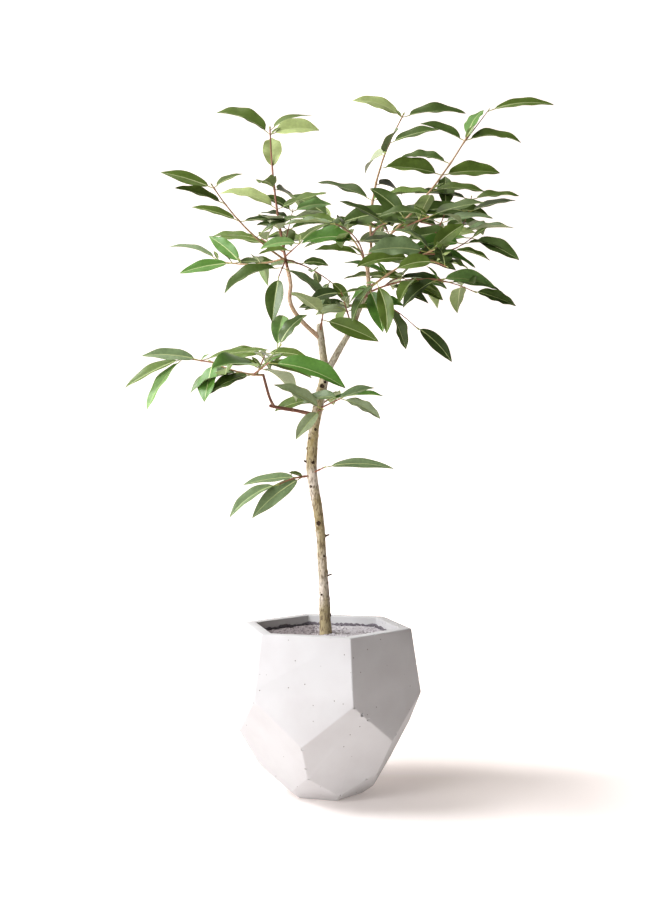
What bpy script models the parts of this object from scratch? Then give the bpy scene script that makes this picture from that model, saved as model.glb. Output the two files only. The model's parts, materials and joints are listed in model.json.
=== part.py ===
"""A potted java plum tree: a slender trunk with pruned boughs, leafy shoots and a faceted pot.

Metres, +Z up. The origin is the centre of the pot's underside, and the tree's front faces -Y.
The pot is cut from one block by three rings of flats, the limbs are tapering tubes along
smooth routes, and every mass of foliage is a stem with twigs that bear pairs of leaves by one
seeded rule.
"""

import math
import random
from dataclasses import dataclass

import bmesh
import bpy
from mathutils import Vector
from mathutils.bvhtree import BVHTree

# Clearance between solids that touch on the real plant
GAP = 0.0003
MERGE = 0.00001
WELDS = (0.00005, 0.00002, 0.00001, 0.000005, 0.000002)

# Pot: three rings of six flats, each flat given by its distance from the axis at two heights
POT_SIDES = 6
POT_TURN = math.radians(-15)
POT_HEIGHT = 0.295
RIM_RADIUS = 0.155
SHOULDER_RADIUS = 0.172
SHOULDER_HEIGHT = 0.185
ANKLE_RADIUS = 0.086
ANKLE_HEIGHT = 0.014
FOOT_RADIUS = 0.066
TOE_RADIUS = 0.122
TOE_HEIGHT = 0.054
WALL = 0.019
FLOOR = 0.022
APOTHEM = math.cos(math.pi / POT_SIDES)
BLOCK_SIZE = 0.8

# Soil: how far it lies below the rim
SOIL_DROP = 0.016
SOIL_LEVEL = POT_HEIGHT - SOIL_DROP

# Tubes
LIMB_STEP = 0.018
LIMB_SMOOTHNESS = 2
TWIG_STEPS = 6
TWIG_SMOOTHNESS = 0
TWIG_TIP_SHARE = 0.5

# Leaves: shares of their length, angles in degrees and the way their faces turn
PETIOLE_SHARE = 0.12
PETIOLE_WIDTH = 0.0026
LEAF_THICKNESS = 0.013
LEAF_SECTIONS = (0.0, 0.4, 0.76)
ROOT_DEPTH = 0.0008
LIGHT = Vector((-0.20, -0.80, 0.80)).normalized()
HEADING_JITTER = 8
RISE_JITTER = 6
DROOP = (14, 50)
TWIST = 26
LENGTH_SHARE = (0.82, 1.1)
WIDTH_SHARE = (0.30, 0.41)
FOLD = (10, 32)
BLADE_SKEW = 0.88
BLADE_FULLNESS = 0.62
TIP_NARROWING = 0.45
TIP_SHARPNESS = 5


@dataclass(frozen=True)
class Limb:
    """A tapering limb.

    Its route holds a few places (x, y, z, diameter), from foot to tip.
    """

    name: str
    route: tuple


@dataclass(frozen=True)
class Shoot:
    """One leafy twig.

    It leaves its parent at a share of that parent's length, ends at its tip, and its middle
    is pushed aside by its bow. Each pair of leaves stands at a share of its length. One leaf
    points along the pair's compass heading, where 0 is right and 90 is away, and the other
    points the opposite way. Both set out at the pair's rise above the horizon, unless a fourth
    value gives the other leaf its own rise, or None where that leaf has fallen.
    """

    parent: str
    share: float
    tip: tuple
    radius: float
    leaf: float
    pairs: tuple
    bow: tuple = (0.0, 0.0, 0.0)
    breadth: float = 1.0


TRUNK = Limb("trunk", (
    (0.000, 0.0, 0.268, 0.034),
    (-0.001, 0.0, 0.284, 0.0270),
    (-0.002, 0.0, 0.302, 0.0215),
    (-0.004, 0.0, 0.350, 0.0185),
    (-0.008, 0.0, 0.418, 0.0160),
    (-0.013, 0.0, 0.486, 0.0168),
    (-0.023, 0.0, 0.543, 0.0178),
    (-0.027, 0.0, 0.588, 0.0195),
    (-0.022, 0.0, 0.647, 0.0185),
    (-0.012, 0.0, 0.702, 0.0180),
    (0.001, 0.0, 0.757, 0.0165),
))
BOUGHS = (
    Limb("stem_left", (
        (-0.001, 0.0, 0.745, 0.0135), (-0.007, 0.0, 0.790, 0.0130), (-0.013, 0.0, 0.838, 0.0120),
    )),
    Limb("bough_left", (
        (-0.012, 0.0, 0.812, 0.0080), (-0.047, -0.008, 0.844, 0.0076),
        (-0.065, -0.018, 0.874, 0.0074), (-0.064, -0.020, 0.905, 0.0070),
        (-0.070, -0.020, 0.936, 0.0068),
    )),
    Limb("bough_right", (
        (0.001, 0.0, 0.750, 0.0125), (0.026, 0.008, 0.796, 0.0112), (0.046, 0.018, 0.832, 0.0104),
        (0.062, 0.025, 0.872, 0.0098), (0.083, 0.030, 0.914, 0.0092),
    )),
    Limb("bough_top", (
        (0.079, 0.029, 0.906, 0.0080), (0.076, 0.032, 0.945, 0.0068), (0.083, 0.034, 0.984, 0.0062),
    )),
    Limb("bough_low", (
        (-0.020, 0.0, 0.672, 0.0095), (-0.050, -0.012, 0.679, 0.0090),
        (-0.078, -0.028, 0.683, 0.0088), (-0.101, -0.042, 0.687, 0.0080),
    )),
    Limb("bough_low_end", (
        (-0.092, -0.037, 0.684, 0.0068), (-0.101, -0.045, 0.704, 0.0064),
        (-0.111, -0.056, 0.742, 0.0060),
    )),
)

# Short ends of pruned limbs: place along the trunk, heading, length and diameter
STUB_RISE = 0.4
STUB_TAPER = 0.8
STUBS = (
    (0.31, 12, 0.010, 0.008),
    (0.62, 8, 0.009, 0.007),
    (0.53, -6, 0.008, 0.008),
)

MASSES = {
    "crown_left": {
        "leader": Shoot("bough_left", 0.97, (-0.105, 0.050, 1.208), 0.0026, 0.105, (
            (0.26, 80, 15), (0.56, 70, 15), (0.42, 0, 24, 34), (0.69, 98, 76, None),
            (0.955, 0, 26, 46), (0.985, 30, 46, None)), (-0.006, 0.0, 0.0), 1.1),
        "upright": Shoot("leader", 0.14, (-0.062, 0.030, 1.050), 0.0013, 0.070, (
            (0.50, 10, 25), (0.78, 170, 20), (0.97, 0, 25, 40))),
        "leaning": Shoot("leader", 0.06, (-0.193, -0.120, 1.055), 0.0020, 0.096, (
            (0.37, 170, 12, 40), (0.59, 182, 20, 12), (0.80, 212, 8, None), (0.98, 55, 32, None),
            (0.97, 180, 28, None)),
            (-0.008, 0.0, -0.006), 0.7),
        "level": Shoot("leader", 0.08, (-0.205, 0.060, 0.965), 0.0018, 0.098, (
            (0.35, 80, 10), (0.62, 150, 52, None), (0.75, 187, -4, 12), (0.97, 176, 42, None)),
            (0.0, 0.0, -0.010), 0.75),
        "hanging": Shoot("leader", 0.07, (-0.083, -0.062, 0.912), 0.0016, 0.108, (
            (0.50, 186, 2, -15), (0.95, 250, -55, None))),
        "inward": Shoot("leader", 0.09, (-0.046, -0.080, 0.966), 0.0015, 0.072, (
            (0.45, 0, None, 12), (0.96, 15, 56, 12))),
        "across": Shoot("leader", 0.07, (0.010, 0.075, 0.925), 0.0015, 0.064, (
            (0.30, 0, 15), (0.62, 80, 0), (0.96, 0, -30, -50)), (0.0, 0.0, 0.006)),
        "behind": Shoot("leader", 0.12, (-0.130, 0.200, 1.035), 0.0018, 0.100, (
            (0.45, 180, 15), (0.74, 90, 15), (0.97, 20, 20, None))),
    },
    "crown_inner": {
        "leader": Shoot("bough_top", 0.30, (0.006, 0.150, 1.065), 0.0022, 0.094, (
            (0.30, 0, 10), (0.52, 180, 16), (0.70, 90, 15), (0.86, 172, 20), (0.98, 168, 40, None)),
            (0.014, 0.0, 0.006)),
        "front": Shoot("leader", 0.22, (0.015, -0.115, 0.992), 0.0017, 0.100, (
            (0.40, 180, 20, 15), (0.70, 270, 10), (0.96, 180, 10, 25)), (0.010, 0.0, 0.008)),
    },
    "crown_centre": {
        "leader": Shoot("bough_top", 0.97, (0.142, 0.040, 1.230), 0.0025, 0.112, (
            (0.16, 0, 15), (0.46, 60, 20, None), (0.34, 168, 36, 15), (0.58, 0, 18, None),
            (0.68, 100, 25), (0.77, 0, 24, None), (0.98, 0, 24, 46)), (-0.020, 0.0, 0.0)),
        "away": Shoot("leader", 0.16, (0.125, 0.215, 1.050), 0.0019, 0.100, (
            (0.35, 10, 15), (0.66, 90, 15), (0.96, 20, 20)), (0.0, 0.0, 0.010)),
        "near": Shoot("leader", 0.08, (0.100, -0.145, 0.985), 0.0018, 0.096, (
            (0.45, 0, 20), (0.72, 80, 15), (0.96, 190, 35, 15)), (0.0, 0.0, 0.006)),
    },
    "crown_far": {
        "leader": Shoot("bough_right", 0.96, (0.182, -0.110, 0.948), 0.0023, 0.098, (
            (0.30, 180, 30, 0), (0.92, 10, 8, 17), (0.70, 10, 12), (0.97, 10, 52, 48)),
            (0.0, 0.0, 0.006)),
        "rising": Shoot("leader", 0.72, (0.222, 0.050, 1.060), 0.0017, 0.096, (
            (0.40, 0, 18), (0.70, 0, 24), (0.90, 0, 18), (0.98, 90, 62, None)),
            (0.010, 0.0, 0.0)),
        "outer": Shoot("leader", 0.80, (0.272, 0.070, 1.085), 0.0016, 0.104, (
            (0.45, 0, 20), (0.62, 60, 15), (0.80, 0, 20), (0.97, 0, 16, 10)),
            (0.020, 0.0, -0.012)),
        "end": Shoot("leader", 0.88, (0.262, -0.020, 0.990), 0.0016, 0.088, (
            (0.30, 90, 10), (0.52, 0, -2), (0.78, 0, 8), (0.97, 350, -24, 12)),
            (0.0, 0.0, -0.010)),
        "round": Shoot("leader", 0.80, (0.200, -0.150, 0.912), 0.0014, 0.062, (
            (0.60, 180, 10), (0.95, 100, 50, None)), (0.0, 0.0, 0.0), 1.4),
    },
    "crown_right": {
        "leader": Shoot("bough_top", 0.88, (0.244, -0.085, 1.150), 0.0024, 0.100, (
            (0.25, 150, 14, 10), (0.33, 0, 40, 62), (0.71, 180, 12, 15), (0.58, 0, 15, None),
            (0.80, 180, 28, None), (0.97, 0, 26, 30), (0.99, 60, 60, None)), (0.006, 0.0, -0.012)),
        "far_top": Shoot("leader", 0.93, (0.286, -0.050, 1.208), 0.0012, 0.142, (
            (0.96, 0, 27, None),), (0.0, 0.0, 0.0), 0.45),
        "away": Shoot("leader", 0.34, (0.225, 0.140, 1.045), 0.0018, 0.098, (
            (0.40, 0, 15), (0.70, 80, 15), (0.97, 10, 22))),
        "near": Shoot("leader", 0.22, (0.165, -0.215, 0.980), 0.0018, 0.098, (
            (0.45, 0, 15), (0.72, 90, 15), (0.97, 0, 20))),
    },
    "crown_side": {
        "leader": Shoot("bough_right", 0.90, (0.205, -0.030, 0.912), 0.0020, 0.098, (
            (0.30, 180, 22, -20), (0.46, 10, -8), (0.68, 60, -15), (0.96, 0, 14, -20)),
            (0.0, 0.0, 0.010)),
        "outer": Shoot("leader", 0.75, (0.272, 0.030, 0.900), 0.0014, 0.100, (
            (0.45, 0, 0), (0.72, 90, 0), (0.95, 0, -8, None)), (0.0, 0.0, 0.006)),
        "back": Shoot("leader", 0.25, (0.160, 0.185, 0.950), 0.0018, 0.096, (
            (0.50, 0, 15), (0.75, 90, 12), (0.96, 20, 15)), (0.0, 0.0, 0.008)),
    },
    "crown_below": {
        "leader": Shoot("bough_right", 0.84, (0.088, -0.075, 0.898), 0.0018, 0.096, (
            (0.40, 300, -45, 0), (0.70, 180, -12, None), (0.95, 320, -56, -30)),
            (0.0, 0.0, 0.008)),
        "drop": Shoot("leader", 0.10, (0.168, 0.050, 0.836), 0.0015, 0.092, (
            (0.40, 60, -34, None), (0.95, 0, -32, None)), (0.0, 0.0, 0.008), 0.8),
    },
    "crown_behind": {
        "leader": Shoot("bough_right", 0.70, (0.030, 0.165, 0.890), 0.0019, 0.096, (
            (0.45, 0, 10), (0.72, 90, 0), (0.96, 20, 10)), (0.0, 0.0, 0.008)),
    },
    "bough_tuft": {
        "leader": Shoot("bough_right", 0.52, (0.026, -0.045, 0.888), 0.0017, 0.060, (
            (0.45, 0, 20), (0.70, 90, 10), (0.95, 0, 12))),
    },
    "stem_tuft": {
        "leader": Shoot("stem_left", 0.84, (-0.006, -0.040, 0.850), 0.0020, 0.125, (
            (0.42, 190, 30, None), (0.66, 0, -10, None), (0.94, 60, 50, 24))),
    },
    "low_left": {
        "leader": Shoot("bough_low_end", 0.96, (-0.205, -0.035, 0.766), 0.0022, 0.095, (
            (0.18, 190, -12, None), (0.40, 180, 0, None), (0.66, 100, 5), (0.95, 250, -58, None)),
            (0.0, 0.0, -0.006), 1.5),
        "outer": Shoot("leader", 0.95, (-0.257, -0.015, 0.774), 0.0016, 0.115, (
            (0.40, 180, 12, 12), (0.95, 180, -14, None), (0.98, 200, -36, None)),
            (0.0, 0.0, 0.0), 0.72),
        "upright": Shoot("leader", 0.15, (-0.080, -0.090, 0.786), 0.0018, 0.092, (
            (0.55, 90, 20, None), (0.90, 85, 66, None), (0.97, 0, 78, None)), (0.0, 0.0, 0.0), 1.15),
        "inward": Shoot("leader", 0.18, (-0.098, -0.100, 0.757), 0.0017, 0.132, (
            (0.50, 60, 5), (0.95, 0, -4, None))),
        "behind": Shoot("leader", 0.12, (-0.115, 0.095, 0.795), 0.0018, 0.092, (
            (0.45, 0, 10), (0.72, 90, 12), (0.96, 180, 10)), (0.0, 0.0, 0.0), 0.75),
    },
    "low_middle": {
        "leader": Shoot("trunk", 0.840, (-0.006, -0.040, 0.680), 0.0018, 0.092, (
            (0.60, 225, -28, None), (0.94, 180, 42, None))),
    },
    "low_right": {
        "leader": Shoot("trunk", 0.845, (0.026, -0.040, 0.700), 0.0018, 0.080, (
            (0.80, 0, 26, None), (0.96, 340, -8, 10))),
    },
    "low_back": {
        "leader": Shoot("trunk", 0.855, (0.012, 0.085, 0.712), 0.0019, 0.100, (
            (0.55, 0, 12), (0.95, 90, 15))),
    },
    "whorl_left": {
        "leader": Shoot("trunk", 0.600, (-0.084, -0.024, 0.548), 0.0019, 0.128, (
            (0.36, 178, 2, None), (0.24, 204, -30, None), (0.62, 90, 8, None),
            (0.97, 186, -8, None)), (0.0, 0.0, 0.004), 0.66),
    },
    "whorl_right": {
        "leader": Shoot("trunk", 0.610, (-0.004, -0.028, 0.578), 0.0019, 0.118, (
            (0.60, 90, 20, None), (0.92, 0, 16, None)), (0.0, 0.0, 0.0), 0.45),
    },
}


def clear_scene():
    """Remove every object of the open scene."""
    for item in list(bpy.data.objects):
        bpy.data.objects.remove(item, do_unlink=True)


def new_collection(name):
    """Return a new collection linked to the scene."""
    collection = bpy.data.collections.new(name)
    bpy.context.scene.collection.children.link(collection)
    return collection


def new_material(name, colour, roughness):
    """Return a Principled material that is not metallic."""
    material = bpy.data.materials.new(name)
    material.use_nodes = True
    shader = material.node_tree.nodes["Principled BSDF"]
    shader.inputs["Base Color"].default_value = (*colour, 1.0)
    shader.inputs["Roughness"].default_value = roughness
    shader.inputs["Metallic"].default_value = 0.0
    material.diffuse_color = (*colour, 1.0)
    return material


def new_object(name, mesh, collection, material=None):
    """Link a new object that shows the mesh."""
    item = bpy.data.objects.new(name, mesh)
    if material:
        mesh.materials.clear()
        mesh.materials.append(material)
    collection.objects.link(item)
    return item


def evaluated_mesh(item):
    """Return a plain mesh of the object as the viewport shows it."""
    bpy.context.view_layer.update()
    graph = bpy.context.evaluated_depsgraph_get()
    return bpy.data.meshes.new_from_object(item.evaluated_get(graph))


def pot_flat(inset, near, far, azimuth):
    """Return a point on a pot flat and its outward normal.

    Args:
        inset: how far the flat is moved in, square to itself.
        near: the distance from the axis and the height of the flat's upper line.
        far: the same for its lower line.
        azimuth: the compass angle that the flat faces.
    """
    out = Vector((math.cos(azimuth), math.sin(azimuth), 0.0))
    along = out * (near[0] - far[0]) + Vector((0.0, 0.0, near[1] - far[1]))
    level = Vector((-out.y, out.x, 0.0))
    normal = level.cross(along).normalized()
    if normal.dot(out) < 0:
        normal = -normal
    return out * near[0] + Vector((0.0, 0.0, near[1])) - normal * inset, normal


def pot_block(inset, bottom, top):
    """Return a bmesh of the pot's outer form, drawn in by the inset and cut level at both ends."""
    rings = (
        ((RIM_RADIUS * APOTHEM, POT_HEIGHT), (SHOULDER_RADIUS * APOTHEM, SHOULDER_HEIGHT), 0.5),
        ((SHOULDER_RADIUS, SHOULDER_HEIGHT), (ANKLE_RADIUS, ANKLE_HEIGHT), 0.0),
        ((TOE_RADIUS, TOE_HEIGHT), (FOOT_RADIUS * APOTHEM, 0.0), 0.5),
    )
    flats = [
        (Vector((0.0, 0.0, top)), Vector((0.0, 0.0, 1.0))),
        (Vector((0.0, 0.0, bottom)), Vector((0.0, 0.0, -1.0))),
    ]
    for near, far, half_turn in rings:
        for side in range(POT_SIDES):
            azimuth = POT_TURN + (side + half_turn) * math.tau / POT_SIDES
            flats.append(pot_flat(inset, near, far, azimuth))
    block = bmesh.new()
    bmesh.ops.create_cube(block, size=BLOCK_SIZE)
    for place, normal in flats:
        cut = bmesh.ops.bisect_plane(
            block, geom=block.verts[:] + block.edges[:] + block.faces[:],
            plane_co=place, plane_no=normal, clear_outer=True)
        rim = [part for part in cut["geom_cut"] if isinstance(part, bmesh.types.BMEdge)]
        bmesh.ops.edgeloop_fill(block, edges=rim)
    bmesh.ops.recalc_face_normals(block, faces=block.faces)
    return block


def block_mesh(name, block):
    """Turn a bmesh into a mesh."""
    mesh = bpy.data.meshes.new(name)
    block.to_mesh(mesh)
    block.free()
    return mesh


def build_pot(collection, cutters, material):
    """Build the pot: the faceted block with its cavity cut out."""
    pot = new_object("pot", block_mesh("pot", pot_block(0.0, 0.0, POT_HEIGHT)), collection, material)
    well = block_mesh("pot_cavity", pot_block(WALL, FLOOR, POT_HEIGHT + WALL))
    cutter = new_object("pot_cavity", well, cutters)
    cutter.hide_render = True
    cutter.display_type = "WIRE"
    cavity = pot.modifiers.new("cavity", "BOOLEAN")
    cavity.operation = "DIFFERENCE"
    cavity.object = cutter
    return pot


def build_soil(collection, material):
    """Build the soil: what the cavity holds, level on top."""
    block = pot_block(WALL + GAP, FLOOR + GAP, SOIL_LEVEL)
    return new_object("soil", block_mesh("soil", block), collection, material)


def smooth_route(stops, step):
    """Return points on a smooth curve through the stops, about one step apart.

    Args:
        stops: the places that the curve passes, each with a width as its last value.
        step: the wanted distance between points.
    """
    ends = [stops[0]] + list(stops) + [stops[-1]]
    points = []
    for before, start, end, after in zip(ends, ends[1:], ends[2:], ends[3:]):
        count = max(1, round((Vector(end[:3]) - Vector(start[:3])).length / step))
        for number in range(count):
            t = number / count
            points.append(tuple(
                0.5 * (2 * b + (c - a) * t + (2 * a - 5 * b + 4 * c - d) * t ** 2
                       + (3 * b - a - 3 * c + d) * t ** 3)
                for a, b, c, d in zip(before, start, end, after)))
    points.append(tuple(stops[-1]))
    return points


def tube(name, points, smoothness, extra=0.0):
    """Return a closed mesh of a tube with flat ends.

    Args:
        name: the mesh's name.
        points: places along the middle, each x, y, z and diameter.
        smoothness: the bevel resolution, where 0 gives four sides and 2 gives eight.
        extra: how much wider and longer the tube is made at every face.
    """
    curve = bpy.data.curves.new(name, "CURVE")
    curve.dimensions = "3D"
    curve.bevel_depth = 1.0
    curve.bevel_resolution = smoothness
    curve.use_fill_caps = True
    spline = curve.splines.new("POLY")
    spline.points.add(len(points) - 1)
    places = [Vector(point[:3]) for point in points]
    places[-1] += (places[-1] - places[-2]).normalized() * extra
    for knot, place, point in zip(spline.points, places, points):
        knot.co = (*place, 1.0)
        knot.radius = point[3] / 2 + extra
    item = bpy.data.objects.new(name, curve)
    bpy.context.scene.collection.objects.link(item)
    mesh = evaluated_mesh(item)
    bpy.data.objects.remove(item)
    block = bmesh.new()
    block.from_mesh(mesh)
    bmesh.ops.remove_doubles(block, verts=block.verts, dist=MERGE)
    bmesh.ops.recalc_face_normals(block, faces=block.faces)
    block.to_mesh(mesh)
    block.free()
    return mesh


def cut_mesh(mesh, cutter_meshes):
    """Return the mesh with each cutter taken away."""
    scratch = bpy.data.collections.new("scratch")
    bpy.context.scene.collection.children.link(scratch)
    item = new_object("cut", mesh, scratch)
    for cutter_mesh in cutter_meshes:
        cutter = new_object("cutter", cutter_mesh, scratch)
        cut = item.modifiers.new("cut", "BOOLEAN")
        cut.operation = "DIFFERENCE"
        cut.object = cutter
    result = keep_largest(evaluated_mesh(item))
    for scrap in list(scratch.objects):
        bpy.data.objects.remove(scrap)
    bpy.data.collections.remove(scratch)
    return result


def islands(block):
    """Return the separate bodies of a bmesh, each a set of faces."""
    left = set(block.faces)
    bodies = []
    while left:
        body = set()
        edge = [left.pop()]
        while edge:
            face = edge.pop()
            body.add(face)
            for loop in face.loops:
                for near in loop.edge.link_faces:
                    if near in left:
                        left.discard(near)
                        edge.append(near)
        bodies.append(body)
    return bodies


def keep_largest(mesh):
    """Drop all bodies of a mesh but the one with the most faces."""
    block = bmesh.new()
    block.from_mesh(mesh)
    bodies = sorted(islands(block), key=len)
    scraps = [face for body in bodies[:-1] for face in body]
    bmesh.ops.delete(block, geom=scraps, context="FACES")
    block.to_mesh(mesh)
    block.free()
    return mesh


def join_pieces(pieces, solver):
    """Return one mesh: the union of the piece meshes, the first being the stem."""
    holder = new_collection("pieces")
    for number, piece in enumerate(pieces[1:]):
        new_object(f"piece_{number}", piece, holder)
    stem = bpy.data.objects.new("stem", pieces[0])
    bpy.context.scene.collection.objects.link(stem)
    union = stem.modifiers.new("union", "BOOLEAN")
    union.operation = "UNION"
    union.operand_type = "COLLECTION"
    union.collection = holder
    union.solver = solver
    mesh = evaluated_mesh(stem)
    for item in [stem, *holder.objects]:
        bpy.data.objects.remove(item)
    bpy.data.collections.remove(holder)
    return keep_largest(mesh)


def welded(mesh):
    """Return the mesh with its finest slivers welded shut, as far as it stays closed."""
    for distance in WELDS:
        finer = mesh.copy()
        block = bmesh.new()
        block.from_mesh(finer)
        bmesh.ops.triangulate(block, faces=block.faces)
        bmesh.ops.remove_doubles(block, verts=block.verts, dist=distance)
        bmesh.ops.dissolve_degenerate(block, edges=block.edges, dist=distance)
        bmesh.ops.triangulate(block, faces=block.faces)
        block.to_mesh(finer)
        block.free()
        if is_closed(finer):
            return finer
    return mesh


def is_closed(mesh):
    """Say whether every edge of the mesh has just two faces."""
    block = bmesh.new()
    block.from_mesh(mesh)
    closed = bool(block.faces) and all(edge.is_manifold for edge in block.edges)
    closed = closed and len(islands(block)) == 1
    block.free()
    return closed


def twig_points(shoot, foot):
    """Return the points of a twig, each x, y, z and diameter, on a bowed line to its tip."""
    tip = Vector(shoot.tip)
    bow = Vector(shoot.bow)
    points = []
    for number in range(TWIG_STEPS + 1):
        t = number / TWIG_STEPS
        place = foot.lerp(tip, t) + bow * (4 * t * (1 - t))
        width = 2 * shoot.radius * (1 - (1 - TWIG_TIP_SHARE) * t)
        points.append((*place, width))
    return points


def along(points, share):
    """Return the place and the direction at a share of the length of a line of points."""
    places = [Vector(point[:3]) for point in points]
    runs = [(b - a).length for a, b in zip(places, places[1:])]
    left = share * sum(runs)
    for start, end, run in zip(places, places[1:], runs):
        if left <= run:
            return start.lerp(end, left / run), (end - start).normalized()
        left -= run
    return places[-1], (places[-1] - places[-2]).normalized()


@dataclass
class Leaf:
    """One leaf: where it springs from and how its midrib and blade lie."""

    root: Vector
    aim: Vector
    length: float
    width: float
    droop: float
    twist: float
    fold: float

    def frame(self, share):
        """Return the midrib's place, its direction and the blade's normal at a share."""
        down = Vector((0.0, 0.0, -1.0))
        sag = (down - self.aim * down.dot(self.aim)).normalized()
        angle = self.droop * share
        reach = self.length / self.droop
        place = self.root + self.aim * (reach * math.sin(angle)) + sag * (reach * (1 - math.cos(angle)))
        heading = self.aim * math.cos(angle) + sag * math.sin(angle)
        normal = (LIGHT - heading * LIGHT.dot(heading)).normalized()
        side = heading.cross(normal)
        return place, heading, normal * math.cos(self.twist) + side * math.sin(self.twist)


def blade_width(share):
    """Return the blade's width at a share of its length, against its widest: a drip-tip ellipse."""
    oval = math.sin(math.pi * share ** BLADE_SKEW) ** BLADE_FULLNESS
    return oval * (1 - TIP_NARROWING * share ** TIP_SHARPNESS)


def shoot_leaves(name, shoot, points):
    """Return the leaves that a shoot bears, pair by pair.

    Args:
        name: the shoot's name, which seeds the small differences between its leaves.
        shoot: the shoot.
        points: the points of its twig.
    """
    leaves = []
    for number, (share, heading, *rises) in enumerate(shoot.pairs):
        place, _ = along(points, share)
        for half, rise in enumerate((rises[0], rises[-1])):
            if rise is None:
                continue
            rule = random.Random(f"{name} {number} {half}")
            compass = math.radians(heading + 180 * half
                                   + rule.uniform(-HEADING_JITTER, HEADING_JITTER))
            slope = math.radians(rise + rule.uniform(-RISE_JITTER, RISE_JITTER))
            aim = Vector((
                math.cos(compass) * math.cos(slope), math.sin(compass) * math.cos(slope),
                math.sin(slope)))
            length = shoot.leaf * rule.uniform(*LENGTH_SHARE)
            leaves.append(Leaf(
                root=place - aim * ROOT_DEPTH * (0.5 + half),
                aim=aim,
                length=length,
                width=length * shoot.breadth * rule.uniform(*WIDTH_SHARE),
                droop=math.radians(rule.uniform(*DROOP)),
                twist=math.radians(rule.uniform(-TWIST, TWIST)),
                fold=math.radians(rule.uniform(*FOLD)),
            ))
    return leaves


def leaf_mesh(leaf):
    """Return a thin closed solid of the leaf: a folded blade on its petiole."""
    block = bmesh.new()
    thick = LEAF_THICKNESS * leaf.length
    root = block.verts.new(leaf.root)
    rings = []
    for section in LEAF_SECTIONS:
        share = PETIOLE_SHARE + (1 - PETIOLE_SHARE) * section
        place, heading, normal = leaf.frame(share)
        side = heading.cross(normal)
        half = max(PETIOLE_WIDTH, leaf.width * blade_width(section)) / 2
        lift = normal * math.sin(leaf.fold) * half
        reach = side * math.cos(leaf.fold) * half
        rings.append([block.verts.new(place + offset) for offset in (
            lift + reach, normal * thick / 2, lift - reach, -normal * thick / 2)])
    tip = block.verts.new(leaf.frame(1.0)[0])
    for number in range(4):
        after = (number + 1) % 4
        block.faces.new((root, rings[0][number], rings[0][after]))
        block.faces.new((tip, rings[-1][after], rings[-1][number]))
        for near, far in zip(rings, rings[1:]):
            # Both faces of the blade are split along the same lines, so they never cross
            if number % 2:
                block.faces.new((near[number], far[number], far[after]))
                block.faces.new((near[number], far[after], near[after]))
            else:
                block.faces.new((near[number], far[number], near[after]))
                block.faces.new((far[number], far[after], near[after]))
    bmesh.ops.recalc_face_normals(block, faces=block.faces)
    return block_mesh("leaf", block)


def tree_of(mesh):
    """Return a search tree of the mesh's faces."""
    places = [vertex.co.copy() for vertex in mesh.vertices]
    return BVHTree.FromPolygons(places, [tuple(face.vertices) for face in mesh.polygons])


def build_limbs(collection, material):
    """Build the trunk and the boughs, each cut clear of those before it.

    Returns:
        The search trees, the widened copies and the points of the limbs, by name.
    """
    trees, wide, lines = {}, {}, {}
    for limb in (TRUNK, *BOUGHS):
        points = smooth_route(limb.route, LIMB_STEP)
        mesh = tube(limb.name, points, LIMB_SMOOTHNESS)
        if limb is TRUNK:
            mesh = join_pieces([mesh] + stub_meshes(points), "EXACT")
            level_foot(mesh, SOIL_LEVEL + GAP)
        else:
            mesh = cut_mesh(mesh, [copy.copy() for copy in wide.values()])
        mesh.name = limb.name
        new_object(limb.name, mesh, collection, material)
        trees[limb.name] = tree_of(mesh)
        wide[limb.name] = tube(limb.name + "_wide", points, LIMB_SMOOTHNESS, GAP)
        lines[limb.name] = points
    return trees, wide, lines


def level_foot(mesh, height):
    """Cut the mesh off flat at a height and close it there."""
    block = bmesh.new()
    block.from_mesh(mesh)
    cut = bmesh.ops.bisect_plane(
        block, geom=block.verts[:] + block.edges[:] + block.faces[:],
        plane_co=(0.0, 0.0, height), plane_no=(0.0, 0.0, -1.0), clear_outer=True)
    rim = [part for part in cut["geom_cut"] if isinstance(part, bmesh.types.BMEdge)]
    bmesh.ops.edgeloop_fill(block, edges=rim)
    bmesh.ops.recalc_face_normals(block, faces=block.faces)
    block.to_mesh(mesh)
    block.free()


def stub_meshes(points):
    """Return the pruned ends that stand on the trunk."""
    meshes = []
    for share, heading, length, width in STUBS:
        place, rise = along(points, share)
        angle = math.radians(heading)
        out = Vector((math.cos(angle), -math.sin(angle), STUB_RISE)).normalized()
        root = (*place, width)
        tip = (*(place + out * (length + width)), width * STUB_TAPER)
        meshes.append(tube("stub", [root, tip], LIMB_SMOOTHNESS))
    return meshes


def grow_twigs(mass, lines, wide):
    """Return a mass's twigs, its stem first, and the leaves that they bear.

    Args:
        mass: the mass's name.
        lines: the points of the limbs by name.
        wide: the limbs' widened copies by name, which trim the stem's foot.
    """
    known = dict(lines)
    twigs = []
    leaves = []
    for name, shoot in MASSES[mass].items():
        foot, _ = along(known[shoot.parent], shoot.share)
        points = twig_points(shoot, foot)
        known[name] = points
        twig = tube(name, points, TWIG_SMOOTHNESS)
        if shoot.parent in lines:
            twig = cut_mesh(twig, [copy.copy() for copy in wide.values()])
        twigs.append(twig)
        leaves += shoot_leaves(f"{mass} {name}", shoot, points)
    return twigs, leaves


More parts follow.
